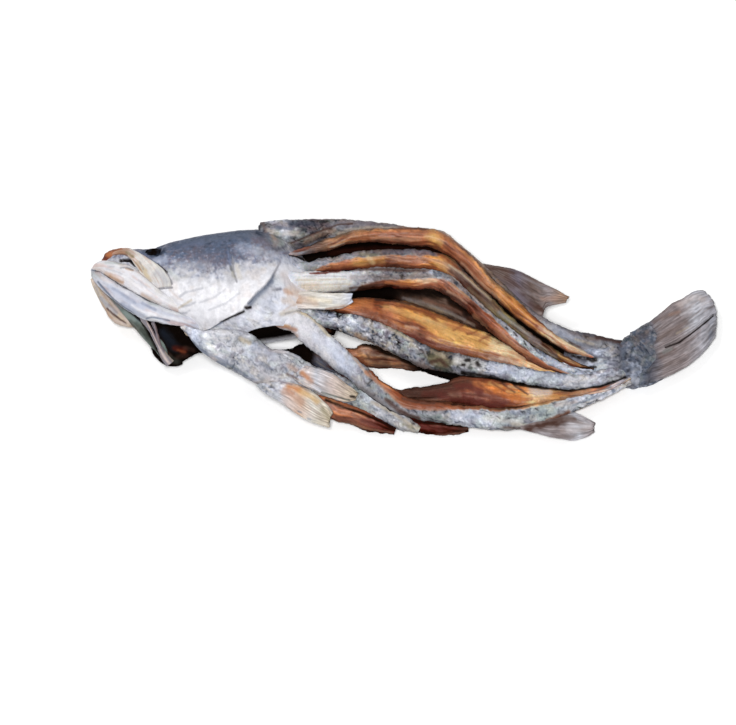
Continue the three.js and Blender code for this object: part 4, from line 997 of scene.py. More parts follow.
def gill_chamber():
    """The dark gill chamber with its gills."""
    p = ribbon("gill_chamber", GILL_CURTAIN, cell=0.8)
    p.wash("soot")
    p.flesh(1.0, 20, 3.0, 0.3)
    p.paint([
        ("navy", 6, 0.55, [(162, 333), (174, 348)]),
        ("umber", 1.6, 0.6, [(160, 340), (166, 351), (170, 356)]),
        ("red", 3.4, 0.8, [(174, 348), (184, 351)]),
        ("rust", 1.6, 0.7, [(177, 350), (184, 352)]),
        ("umber", 2.6, 0.6, [(184, 348), (192, 350)]),
        ("moss", 4.0, 0.7, [(168, 358), (176, 362)]),
        ("umber", 3.0, 0.5, [(176, 357), (186, 355)]),
    ])
    p.build(BONE, 0.9)


def eyes():
    """The dried eyes."""
    rings, around, sunk, size = 26, 40, 2.6, np.array([8.4, 5.2, 3.4])
    across, up = -253.0, 75.0
    t, f = np.meshgrid(np.linspace(0.02, math.pi - 0.02, rings), 2 * math.pi * np.arange(around) / around,
                       indexing="ij")
    for k in range(2):
        height = on_trunk([(across, up, 0)])[0][2] - sunk
        c = as_seen(across, up, height)
        if k == 1:
            c[2] = other_side(c[2])
        pts = np.stack([np.sin(t) * np.cos(f), np.sin(t) * np.sin(f), np.cos(t)], -1) * size + c
        p = Piece("eye_%d" % k, pts, 0, 0, size[0])
        p.wash("soot")
        p.wash("navy", 0.5 * step(-0.2, 0.4, layers(p.p, 5, 2, 91)))
        p.depth += 0.5 * layers(p.p, 4, 2, 92)
        p.build(WET, 0.45)


def throat():
    """The scaly flap in front of the pelvic fins."""
    p = ribbon("throat", THROAT, square=2.6, torn=0.8, cell=0.8)
    p.tint([(178, "pale"), (196, "lilac"), (214, "pale"), (232, "silver"), (250, "silver"), (262, "fog"),
            (285, "silver"), (312, "silver")])
    p.skin(1.0, 6.0)
    # Painted shade: the lower side is darkened
    p.shade(-0.16 * step(0.4, 1.0, -p.across))
    p.paint([
        ("lilac", 5, 0.5, [(188, 334), (204, 342)]),
        ("white", 8, 0.5, [(212, 334), (232, 332)]),
        ("white", 5, 0.4, [(228, 343), (246, 347)]),
        ("pale", 4, 0.5, [(262, 374), (276, 378)]),
        ("slate", 2.0, 0.8, [(219, 362), (226, 366)]),
        ("slate", 1.6, 0.5, [(212, 354), (232, 366), (248, 376)]),
        ("slate", 3.2, 0.75, [(170, 330), (182, 337), (194, 345), (208, 354)]),
        # Painted shadow: the black stroke just below the gill cover's edge
        ("soot", 2.4, 0.9, [(166, 326), (174, 331), (184, 338)], 0, 0.8),
        ("pale", 4.0, 0.6, [(216, 329), (230, 328)]),
        ("lilac", 5.0, 0.5, [(254, 347), (274, 355)]),
        ("ash", 1.4, 0.5, [(233, 345), (240, 337), (247, 334)]),
        ("sand", 2.6, 0.7, [(242, 339), (250, 343)]),
        ("pale", 2.2, 0.7, [(278, 351), (288, 352), (296, 356)]),
        ("ash", 0.8, 0.7, [(276, 352), (288, 354), (298, 358)], -0.3),
        ("slate", 1.0, 0.6, [(262, 384), (264, 387)]),
        ("slate", 1.0, 0.6, [(271, 368), (274, 370)]),
        ("ash", 1.2, 0.5, [(250, 352), (270, 356)], -0.4),
        ("pink", 2.0, 0.3, [(270, 350), (285, 352)]),
        ("umber", 1.6, 0.6, [(288, 374), (294, 377)], 0, 1.2),
        ("salmon", 3.0, 0.5, [(290, 366), (297, 370)], 0, 1.2),
        ("pink", 4.0, 0.5, [(270, 380), (280, 386)], 0, 1.2),
        ("plum", 1.4, 0.6, [(280, 381), (290, 384)], 0, 1.2),
        ("slate", 2.0, 0.4, [(262, 364), (270, 368)], 0, 1.2),
    ])
    p.build(SKIN)


trunk()
for twin in (False, True):
    maxilla(twin)
    lip(twin)
    mandible(twin)
snout()
mouth_floor()
isthmus()
gill_chamber()
eyes()
throat()


# The strips

def strip(name, rows, material, look, skin=None, flesh=None, first="silver", square=2.2, ridge=0.0,
          size=7.0, fibre=2.2, cell=1.0):
    """A strip with skin above the line `skin` of (x, across) and flesh below it, or the other way round.

    look has its paint, the tones of its skin and of its flesh (base) from left to right, and how mottled the
    skin and how strong the painted shade along its lower edge are there.
    """
    p = ribbon(name, rows, square, ridge, cell=cell * 0.85)
    if skin is None:
        cover = np.zeros(len(p.p))
    elif skin == "all":
        cover = np.ones(len(p.p))
    elif skin == "outside":
        cover = 1 - step(-0.35, -0.1, p.face)
    else:
        sign = -1 if flesh == "above" else 1
        level = np.interp(p.x, *zip(*skin)) + 0.16 * layers(p.q, 9, 2, 101)
        cover = step(-0.10, 0.10, sign * (p.across - level)) * step(-0.35, 0.1, p.face)
    p.wash(first)
    if "base" in look:
        p.tint(look["base"], 1 - cover)
    if "skin" in look:
        p.tint(look["skin"], cover)
    mottled, edge = (np.interp(p.x, *zip(*look[key])) if key in look else 1.0 for key in ("mottled", "edge"))
    p.skin(cover, size, mottled)
    p.flesh(1 - cover, 32, fibre)
    # Painted shade: the lower edge is toned dark red on the flesh and darkened, and the upper edge a little
    # darkened, where the strip turns from the light
    p.tone("red", 0.55 * edge * (1 - cover) * step(0.35, 1.0, -p.across), FLESH_LIGHT)
    p.shade(-0.26 * edge * step(0.25, 1.0, -p.across) - 0.10 * step(0.65, 1.0, p.across))
    p.paint(look["paint"])
    p.build(material, np.where(cover > 0.5, 0.6, 0.42))


# Strips of the near flank, from the back down
strip("back_ridge", BACK_RIDGE, SKIN, skin="all", size=8, look={
    "skin": [(258, "plum"), (270, "fog"), (284, "fog"), (300, "plum"), (322, "bark"), (350, "dove"),
             (372, "dove"), (396, "tan"), (425, "clay"), (440, "blush"), (470, "blush"), (495, "tan"),
             (520, "tan"), (532, "dove"), (555, "fog"), (575, "dove"), (590, "bark"), (604, "dove"),
             (612, "ash"), (632, "dim")],
    "mottled": [(258, 1.9), (330, 1.7), (360, 1.0), (640, 1.0)],
    "paint": [
        ("plum", 4, 0.5, [(264, 224), (276, 224), (290, 224)]),
        ("sand", 3, 0.5, [(284, 232), (296, 232)]),
        ("sand", 2.5, 0.5, [(266, 228), (276, 232)]),
        ("plum", 3.5, 0.5, [(300, 222), (330, 222), (370, 221), (400, 225)]),
        ("slate", 2.6, 0.6, [(266, 233), (270, 241)]),
        ("sage", 4.0, 0.4, [(277, 230), (281, 243)]),
        ("pale", 3.0, 0.35, [(286, 231), (298, 234)]),
        ("slate", 2.2, 0.6, [(276, 226), (290, 227)]),
        ("moss", 2.0, 0.4, [(284, 238), (294, 236)]),
        ("umber", 1.1, 0.8, [(286, 244), (304, 236), (320, 229), (338, 222), (352, 221)], -1.0),
        ("tan", 2.6, 0.45, [(304, 240), (318, 233), (334, 228)], 0.6),
        ("lilac", 2.4, 0.6, [(306, 246), (320, 240), (334, 235)]),
        ("slate", 3.0, 0.6, [(298, 250), (312, 245), (330, 239)]),
        ("fog", 2.4, 0.5, [(292, 252), (308, 250)]),
        ("sand", 2.6, 0.5, [(338, 232), (352, 228), (372, 226), (396, 227)], 0.5),
        ("umber", 1.2, 0.6, [(336, 237), (352, 230), (374, 227), (400, 229)], -0.7),
        ("dim", 2.4, 0.9, [(273, 247.5), (283, 245)], -1.6, 1.1),
        ("plum", 4, 0.35, [(482, 266), (500, 283), (520, 303), (545, 318)]),
        ("slate", 3, 0.5, [(560, 334), (584, 346), (600, 350)]),
        ("dim", 2.6, 0.7, [(560, 326), (584, 332), (604, 338), (622, 343)]),
        ("lilac", 4, 0.4, [(552, 326), (575, 338), (600, 344)]),
        ("umber", 2.6, 0.8, [(598, 337), (611, 339), (624, 343)]),
        ("umber", 1.0, 0.6, [(570, 342), (590, 352), (606, 357)], -0.6),
        # Painted shade: the black line in the gap under the ridge's lower edge
        ("soot", 1.0, 0.9, [(572, 352), (586, 357), (604, 359), (612, 358)], -0.8),
        ("lilac", 3.5, 0.5, [(584, 349), (604, 352)]),
        ("sand", 1.6, 0.5, [(576, 339), (594, 344)]),
        ("navy", 3.4, 0.5, [(290, 222), (302, 221), (312, 221)]),
        ("umber", 2.0, 0.5, [(262, 222), (264, 230), (266, 238)]),
    ],
})
strip("back_flesh", BACK_FLESH, FLESH, square=1.8, ridge=0.25, first="clay", fibre=2.6, look={
    "base": [(290, "fog"), (300, "ash"), (314, "bark"), (332, "tan"), (352, "tan"), (372, "clay"),
             (400, "clay"), (425, "clay"), (435, "gold"), (446, "clay"), (470, "clay"), (495, "tan"),
             (512, "amber"), (532, "amber"), (548, "cream"), (590, "pink")],
    "edge": [(300, 0.3), (330, 1.0), (600, 1.0)],
    "paint": [
        # Painted shade: the black band in the gap along the strip's lower edge
        ("soot", 2.2, 0.95, [(496, 300), (515, 317), (528, 327.5), (541, 337), (555, 346), (568, 353),
                             (586, 360)], 0, 0.7, 0.3),
        ("bone", 1.0, 0.7, [(376, 243), (384, 243)]),
        ("cream", 1.8, 0.8, [(393, 243.5), (400, 244)]),
        ("bone", 0.9, 0.6, [(330, 246), (344, 242)]),
        ("blush", 2.5, 0.45, [(372, 237), (400, 238), (420, 238)]),
        ("rust", 2.2, 0.6, [(344, 244), (370, 241), (400, 244), (430, 246)]),
        ("rust", 1.6, 0.5, [(352, 238), (372, 235), (400, 233), (424, 234)], -0.5),
        # Painted highlight: the gold stroke on the top of the bend
        ("gold", 3.6, 0.7, [(427, 235), (436, 237), (441, 242)]),
        ("clay", 2.0, 0.6, [(404, 234), (430, 230), (446, 234), (458, 244)]),
        ("rust", 1.4, 0.7, [(442, 249), (452, 256), (466, 272), (486, 290)]),
        ("clay", 3.0, 0.6, [(456, 252), (470, 268), (484, 282)]),
        ("blush", 1.5, 0.5, [(462, 262), (480, 281), (500, 299)]),
        ("orange", 3.0, 0.45, [(492, 285), (510, 302), (526, 315)]),
        ("umber", 1.0, 0.6, [(488, 272), (508, 290), (530, 310), (552, 328), (572, 342)], -0.4),
        ("cream", 3.0, 0.8, [(546, 330), (562, 341), (584, 354)]),
        ("blush", 2.0, 0.6, [(540, 327), (552, 335)]),
        ("rust", 1.5, 0.5, [(500, 302), (520, 318), (540, 331)]),
        ("tan", 2.4, 0.7, [(570, 349), (588, 357)]),
    ],
})
strip("upper_strip", UPPER_STRIP, FLESH, square=1.8, ridge=0.2, skin=[
    (300, -1.2), (322, 0.0), (350, 0.30), (420, 0.42), (440, 0.7), (448, 1.2), (600, 1.2)], look={
    "mottled": [(300, 0.6), (320, 1.2), (600, 1.2)],
    "edge": [(300, 0.3), (330, 1.0), (440, 1.0), (456, 0.3), (600, 0.3)],
    "skin": [(285, "lilac"), (300, "silver"), (325, "dove"), (354, "dove"), (384, "bark"), (410, "plum"),
             (440, "clay")],
    "base": [(290, "bone"), (325, "clay"), (345, "clay"), (360, "amber"), (380, "amber"), (395, "tan"),
             (415, "clay"), (440, "amber"), (452, "tan"), (462, "bark"), (484, "bark"), (508, "olive"),
             (534, "bark"), (556, "olive"), (568, "amber"), (600, "amber")],
    "paint": [
        ("cream", 2.6, 0.75, [(368, 256), (373, 262)]),
        ("gold", 3.2, 0.5, [(355, 262), (368, 261), (384, 260)]),
        # Painted shade: the rust and red lines along the lower edge, in the slit above the middle strip
        ("rust", 1.8, 0.7, [(330, 268), (352, 267), (380, 265), (410, 268), (436, 267)], -0.4),
        ("red", 1.6, 0.8, [(318, 271), (340, 269), (366, 268)]),
        ("olive", 2.0, 0.45, [(360, 253), (376, 254)]),
        ("plum", 2.4, 0.6, [(384, 250), (402, 250), (424, 250), (438, 253)]),
        ("olive", 1.4, 0.5, [(416, 247), (426, 247)]),
        ("rust", 2.4, 0.8, [(440, 253), (450, 260), (460, 269)]),
        ("gold", 2.6, 0.5, [(436, 262), (447, 267)]),
        ("pink", 2.2, 0.5, [(330, 258), (342, 257)]),
        ("rust", 1.6, 0.6, [(386, 258), (404, 259), (428, 260)], -0.4),
        ("sand", 1.3, 0.8, [(450, 264), (462, 272), (478, 287), (492, 299)], 0.4),
        ("umber", 2.6, 0.55, [(452, 270), (470, 284), (486, 298), (500, 311)]),
        ("olive", 2.6, 0.4, [(470, 288), (484, 302), (500, 316)]),
        ("ash", 2.6, 0.6, [(500, 312), (520, 328), (540, 342)]),
        ("moss", 1.8, 0.8, [(500, 303), (516, 316), (534, 331), (552, 344)]),
        ("olive", 2.0, 0.4, [(515, 330), (535, 346), (552, 356)]),
        ("umber", 1.2, 0.5, [(540, 348), (560, 358), (576, 365)], -0.5),
        ("dove", 2.6, 0.6, [(530, 341), (544, 350), (556, 357)]),
        ("gold", 2.0, 0.7, [(560, 356), (572, 362), (580, 366)]),
        ("rust", 1.3, 0.7, [(566, 363), (578, 367)]),
        ("sage", 3.0, 0.5, [(301, 258), (306, 268)]),
        ("lilac", 4.0, 0.5, [(308, 262), (326, 262)]),
        # Painted shade: the black strokes from here on lie in the gaps along the strip's lower edge and
        # round its tip
        ("soot", 2.4, 0.95, [(500, 298), (514, 310), (532, 325), (550, 340), (566, 350),
                             (584, 358)], 0, 0.6, 0.3),
        ("soot", 1.2, 0.9, [(546, 360), (560, 366), (576, 369), (590, 368)], 0, 0.6, 0.3),
        ("umber", 1.8, 0.85, [(562, 354), (573, 360), (584, 364)], 0, 0.8),
        ("soot", 2.6, 0.9, [(583, 363), (590, 366), (598, 370)], 0, 0.8),
    ],
})
strip("middle_strip", MIDDLE_STRIP, FLESH, square=1.8, ridge=0.1, skin=[
    (290, -1.2), (352, -1.2), (362, -0.55), (385, -0.25), (410, 0.04), (440, 0.2), (455, 0.5), (492, 0.55),
    (515, 0.2), (535, -0.1), (560, -0.3), (590, -0.6)], look={
    "mottled": [(345, 0.25), (365, 1.3), (600, 1.3)],
    "edge": [(320, 0.0), (350, 1.0), (600, 1.0)],
    "skin": [(285, "white"), (335, "white"), (352, "silver"), (368, "fog"), (390, "dove"), (418, "dove"),
             (438, "silver"), (452, "dove"), (482, "dove"), (503, "fog"), (520, "silver"), (556, "lilac"),
             (610, "lilac")],
    "base": [(290, "bone"), (362, "umber"), (378, "rust"), (394, "clay"), (410, "amber"), (424, "blush"),
             (442, "clay"), (455, "clay"), (472, "rust"), (492, "rust"), (512, "clay"), (545, "clay"),
             (575, "tan")],
    "paint": [
        ("bone", 9, 0.65, [(300, 282), (320, 281), (344, 280)]),
        ("lilac", 3.5, 0.6, [(288, 273), (295, 281), (301, 290)], 0, 1.4),
        ("cream", 4, 0.35, [(304, 288), (330, 289), (346, 290)]),
        ("blush", 4, 0.35, [(300, 287), (316, 285)]),
        ("white", 4, 0.5, [(318, 275), (346, 275), (362, 277)]),
        ("sand", 0.8, 0.7, [(296, 280), (320, 279.5), (346, 279)], -0.2),
        ("sand", 0.8, 0.6, [(300, 285), (324, 284.5), (350, 284)], -0.2),
        ("fog", 0.8, 0.6, [(304, 276), (326, 275.5), (346, 276)], -0.2),
        ("ash", 1.1, 0.85, [(322, 294), (334, 292.5), (346, 291)], -0.6, 0.6, 0.2),
        ("umber", 1.3, 0.7, [(350, 288), (364, 286), (382, 284)]),
        # Painted shade: the red and umber lines along the upper edge, in the slit below the upper strip
        ("red", 1.3, 0.9, [(310, 273), (322, 272.5), (334, 271), (344, 269)], 0, 0.7),
        ("umber", 1.8, 0.75, [(350, 269), (366, 269), (382, 269), (408, 270.5), (428, 270)]),
        ("bark", 3.0, 0.45, [(352, 277), (368, 277), (400, 277), (430, 276)]),
        # Painted shade: the red and umber lines along the lower edge, at the gap below the strip
        ("red", 1.7, 0.8, [(394, 288), (408, 289.5), (424, 289)]),
        ("umber", 2.2, 0.8, [(444, 291), (456, 298), (466, 307)]),
        ("orange", 1.7, 0.6, [(386, 282), (398, 284), (410, 285)]),
        ("rust", 1.2, 0.7, [(400, 286), (416, 287), (432, 288)]),
        ("cream", 1.8, 0.6, [(418, 281), (436, 281)]),
        ("blush", 1.6, 0.5, [(448, 291), (460, 297), (466, 303)]),
        ("red", 1.6, 0.3, [(464, 303), (472, 310)]),
        ("tan", 2.4, 0.5, [(474, 316), (486, 327)]),
        ("pink", 1.1, 0.8, [(454, 277), (466, 288), (480, 303), (492, 314)], 0.3),
        ("lilac", 2.2, 0.7, [(501, 320), (514, 331), (530, 345)]),
        ("white", 1.2, 0.6, [(508, 326), (520, 336), (534, 349)]),
        ("soot", 0.9, 0.7, [(506, 327), (508, 329)]),
        ("soot", 0.9, 0.7, [(514, 332), (517, 336)]),
        ("soot", 0.9, 0.7, [(524, 341), (526, 345)]),
        ("dim", 0.9, 0.7, [(534, 348), (538, 352)]),
        ("slate", 1.4, 0.6, [(540, 350), (548, 358)]),
        ("lilac", 4, 0.6, [(548, 358), (566, 370)]),
        ("tan", 2.4, 0.5, [(496, 329), (512, 343), (530, 357)]),
        ("rust", 1.2, 0.7, [(486, 328), (500, 339), (516, 350), (536, 362), (552, 371)], -0.4),
        ("sand", 1.2, 0.5, [(452, 285), (470, 299)]),
    ],
})
strip("side_flesh", SIDE_FLESH, FLESH, square=1.8, ridge=-0.3, first="gold", fibre=3.2, look={
    "base": [(300, "rust"), (345, "orange"), (362, "clay"), (376, "rust"), (392, "clay"), (406, "amber"),
             (422, "amber"), (444, "gold"), (478, "gold"), (505, "cream"), (535, "cream"), (560, "gold")],
    "paint": [
        ("bone", 7, 0.9, [(300, 304), (318, 304), (330, 302)]),
        ("orange", 3.4, 0.7, [(348, 303), (362, 303), (370, 307)]),
        ("orange", 2.4, 0.6, [(352, 301), (362, 300), (372, 301)]),
        ("rust", 2.6, 0.75, [(402, 305), (420, 310), (440, 316), (462, 324)]),
        ("umber", 1.6, 0.85, [(376, 299), (392, 299), (404, 302), (424, 307), (444, 313),
                              (470, 323)], -0.5),
        ("rust", 4.0, 0.7, [(366, 311), (382, 318), (396, 327), (412, 337)]),
        ("gold", 3.6, 0.55, [(386, 307), (400, 311), (416, 317)]),
        ("rust", 3.0, 0.6, [(384, 320), (400, 329), (416, 333)]),
        ("rust", 2.4, 0.5, [(424, 333), (438, 338), (452, 342)]),
        ("gold", 4.5, 0.7, [(418, 319), (436, 326), (456, 335)]),
        ("cream", 2.5, 0.4, [(424, 318), (446, 327)]),
        ("pink", 1.8, 0.5, [(406, 326), (418, 328)]),
        ("red", 3.4, 0.7, [(408, 335), (424, 341), (444, 347), (466, 352)]),
        ("amber", 8.0, 0.4, [(436, 326), (462, 334), (484, 343)]),
        ("clay", 3.0, 0.55, [(446, 323), (470, 332), (488, 339)]),
        ("sand", 3.0, 0.6, [(494, 341), (510, 348)]),
        ("tan", 2.2, 0.6, [(524, 353), (538, 361)]),
        ("rust", 3.0, 0.75, [(420, 343), (444, 349), (466, 352), (490, 355), (516, 361)]),
        ("orange", 4.0, 0.5, [(450, 323), (466, 330)]),
        ("rust", 1.5, 0.75, [(482, 328), (475, 332), (468, 334)], -0.5, 1.2),
        ("rust", 1.5, 0.7, [(492, 334), (486, 337), (480, 340)], -0.5, 1.2),
        ("rust", 1.3, 0.55, [(466, 323), (460, 327), (454, 330)], -0.4, 1.2),
        ("rust", 1.2, 0.4, [(503, 341), (497, 344)], -0.4, 1.2),
        ("cream", 4.0, 0.6, [(492, 345), (508, 352), (524, 358)]),
        ("cream", 2.2, 0.5, [(500, 358), (520, 363)]),
        ("pink", 2.4, 0.5, [(490, 358), (506, 361)]),
        ("orange", 2.2, 0.6, [(532, 366), (548, 371)]),
        ("rust", 1.0, 0.5, [(440, 341), (470, 348), (500, 355)], -0.4),
    ],
})
strip("side_skin", SIDE_SKIN, SKIN, skin="all", square=2.7, cell=0.9, look={
    "mottled": [(300, 1.2), (325, 2.2), (430, 2.2), (500, 1.4), (640, 1.4)],
    "edge": [(300, 1.0), (520, 1.0), (550, 0.5), (640, 0.5)],
    "skin": [(305, "silver"), (318, "fog"), (340, "silver"), (366, "fog"), (394, "fog"), (416, "ash"),
             (428, "bark"), (445, "bark"), (458, "ash"), (472, "ash"), (486, "silver"), (500, "lilac"),
             (580, "silver"), (596, "lilac"), (608, "fog"), (640, "ash")],
    "paint": [
        ("cream", 2.2, 0.55, [(382, 323), (392, 329), (404, 336), (412, 341)]),
        ("ash", 1.1, 0.8, [(418, 344), (424, 350), (427, 358), (422, 363)], -0.6),
        ("lilac", 5, 0.5, [(318, 316), (340, 322), (360, 328)]),
        ("nape", 2.2, 0.4, [(322, 313), (336, 316)]),
        ("white", 3, 0.3, [(346, 318), (354, 321)]),
        ("ash", 3, 0.5, [(362, 322), (374, 327)]),
        ("pink", 2, 0.4, [(382, 326), (392, 331)]),
        ("ash", 4, 0.35, [(400, 347), (420, 355)]),
        ("olive", 6.5, 0.8, [(432, 358), (446, 364)]),
        ("sand", 2.5, 0.6, [(432, 351), (444, 356)]),
        ("umber", 2.2, 0.8, [(431, 362), (440, 360), (446, 366)], -0.5),
        ("moss", 1.6, 0.7, [(436, 367), (452, 370)]),
        ("bone", 4.5, 0.6, [(456, 361), (482, 365)]),
        ("soot", 2.0, 0.9, [(466, 360), (469, 360)], -0.8),
        ("soot", 2.6, 0.85, [(477, 363), (478, 365)], -0.8),
        ("soot", 1.5, 0.85, [(462, 365), (464, 365)], -0.7),
        ("moss", 1.6, 0.8, [(469, 368), (471, 368)], -0.6),
        ("moss", 1.3, 0.7, [(457, 367), (459, 368)], -0.5),
        ("plum", 1.5, 0.7, [(482, 359), (486, 360)], -0.5),
        ("lilac", 6, 0.55, [(492, 367), (520, 373), (560, 379)]),
        ("nape", 2.5, 0.3, [(510, 373), (520, 376)]),
        ("pale", 5, 0.6, [(566, 380), (582, 382), (596, 378)]),
        ("nape", 4, 0.3, [(598, 368), (620, 362)]),
        ("tan", 2.6, 0.6, [(356, 335), (374, 346), (392, 355)]),
        ("bark", 3.0, 0.65, [(388, 354), (406, 362), (428, 367)]),
        ("dim", 2.4, 0.55, [(452, 368), (476, 373), (508, 377)]),
        # Along the lower edge: the black lines are painted shade in the gap below; the red line is the flesh
        # of the underside, darkened as painted shade
        ("soot", 1.9, 0.9, [(462, 373), (476, 374.5), (488, 376.5), (502, 380)], 0, 0.8, 0.3),
        ("red", 2.4, 0.9, [(362, 344), (380, 354), (400, 363), (424, 371), (450, 377),
                           (480, 380)], -0.3, 0.9),
        ("soot", 1.8, 0.9, [(366, 346), (384, 357), (402, 365), (424, 373), (450, 379),
                            (480, 382)], -0.3, 0.9),
        ("soot", 1.3, 0.9, [(500, 381), (520, 386), (545, 389), (570, 391.5), (600, 386.5),
                            (627, 377)], 0, 0.7, 0.2),
    ],
})
strip("girdle_strip", GIRDLE_STRIP, SKIN, flesh="above", skin=[
    (285, 2), (360, 2), (372, 0.75), (386, 0.45), (398, 0.1), (408, -0.08), (420, 0.1), (438, 0.3),
    (458, 0.6), (480, 0.75), (640, 0.85)], look={
    "mottled": [(310, 0.35), (340, 0.6), (370, 1.2), (640, 1.2)],
    "edge": [(310, 0.2), (345, 1.0), (550, 1.0), (570, 0.1), (640, 0.1)],
    "skin": [(285, "pale"), (300, "pale"), (325, "pale"), (345, "lilac"), (361, "fog"), (382, "ash"),
             (410, "ash"), (438, "ash"), (458, "silver"), (474, "lilac"), (495, "silver"), (510, "silver"),
             (545, "mist"), (575, "silver"), (605, "pale"), (640, "silver")],
    "base": [(285, "silver"), (376, "clay"), (396, "rust"), (440, "rust"), (470, "clay"), (520, "tan"),
             (560, "tan"), (600, "tan"), (640, "dove")],
    "paint": [
        ("clay", 2.2, 0.8, [(276, 326), (286, 327), (296, 330)], 0, 1.0),
        ("amber", 1.4, 0.6, [(280, 325), (290, 326)], 0, 1.0),
        ("salmon", 2.0, 0.6, [(290, 333), (297, 336)], 0, 1.0),
        ("pale", 5, 0.5, [(290, 318), (302, 322), (308, 332)]),
        ("sand", 2.4, 0.6, [(286, 314), (296, 311.5), (306, 313)], 0, 1.2),
        ("cream", 2.4, 0.7, [(303, 313), (314, 319), (322, 327), (330, 335)]),
        ("tan", 1.2, 0.7, [(306, 312), (318, 321), (332, 334), (346, 348)]),
        ("lilac", 6, 0.5, [(316, 337), (334, 352), (350, 366)]),
        ("blush", 1.6, 0.7, [(344, 345), (356, 360), (368, 375)]),
        ("clay", 2.2, 0.8, [(366, 372), (380, 384), (392, 395), (402, 404)]),
        ("rust", 1.6, 0.8, [(370, 371), (384, 381), (398, 391)]),
        ("ash", 3, 0.4, [(356, 384), (372, 396), (390, 408)]),
        ("sage", 1.6, 0.5, [(380, 394), (390, 400)]),
        # Painted shade: the black lines in the seam between the lower edge and the belly skin
        ("soot", 1.5, 0.95, [(360, 391), (370, 398), (382, 406), (394, 413), (404, 419)], -0.4, 0.6, 0.3),
        ("soot", 2.0, 0.9, [(402, 418), (420, 425), (440, 428), (462, 428)], 0, 0.9, 0.3),
        ("umber", 2.6, 0.9, [(526, 429), (540, 425), (554, 419), (566, 413)], 0, 1.1, 0.6),
        ("umber", 2.6, 0.8, [(386, 399), (397, 409), (408, 415), (418, 418)]),
        ("moss", 2.4, 0.6, [(408, 418), (424, 422), (446, 424)]),
        ("slate", 2.6, 0.8, [(318, 360), (330, 370), (342, 381)], 0, 0.9),
        ("bark", 2.2, 0.25, [(356, 384), (370, 394), (382, 402)]),
        ("clay", 1.6, 0.7, [(404, 406), (420, 409), (440, 409), (456, 407)]),
        ("rust", 3.0, 0.7, [(398, 399), (412, 404), (430, 405), (446, 404)]),
        ("umber", 1.4, 0.6, [(402, 398), (416, 402), (434, 403)], -0.3),
        ("rust", 2.0, 0.6, [(546, 420), (558, 416), (568, 412)], 0, 1.1, 0.6),
        ("mist", 4.0, 0.5, [(536, 412), (552, 410)]),
        ("bone", 2.4, 0.5, [(498, 420), (520, 421)]),
        ("soot", 0.9, 0.6, [(496, 416), (499, 418)]),
        ("soot", 0.9, 0.6, [(520, 411), (524, 412)]),
        ("soot", 0.8, 0.6, [(534, 408), (537, 410)]),
        ("lilac", 4, 0.5, [(452, 414), (476, 418)]),
        ("sage", 2.2, 0.4, [(420, 415), (440, 417)]),
        ("bone", 4, 0.4, [(484, 418), (500, 418)]),
        ("slate", 2.4, 0.35, [(510, 413), (530, 413), (545, 411)]),
        ("umber", 1.6, 0.6, [(504, 427), (520, 428), (532, 426)]),
        ("sand", 2.4, 0.5, [(512, 424), (524, 425)]),
        ("pink", 2.5, 0.5, [(555, 404), (575, 402)]),
        ("slate", 1.2, 0.5, [(572, 405), (590, 399), (606, 393)]),
    ],
})

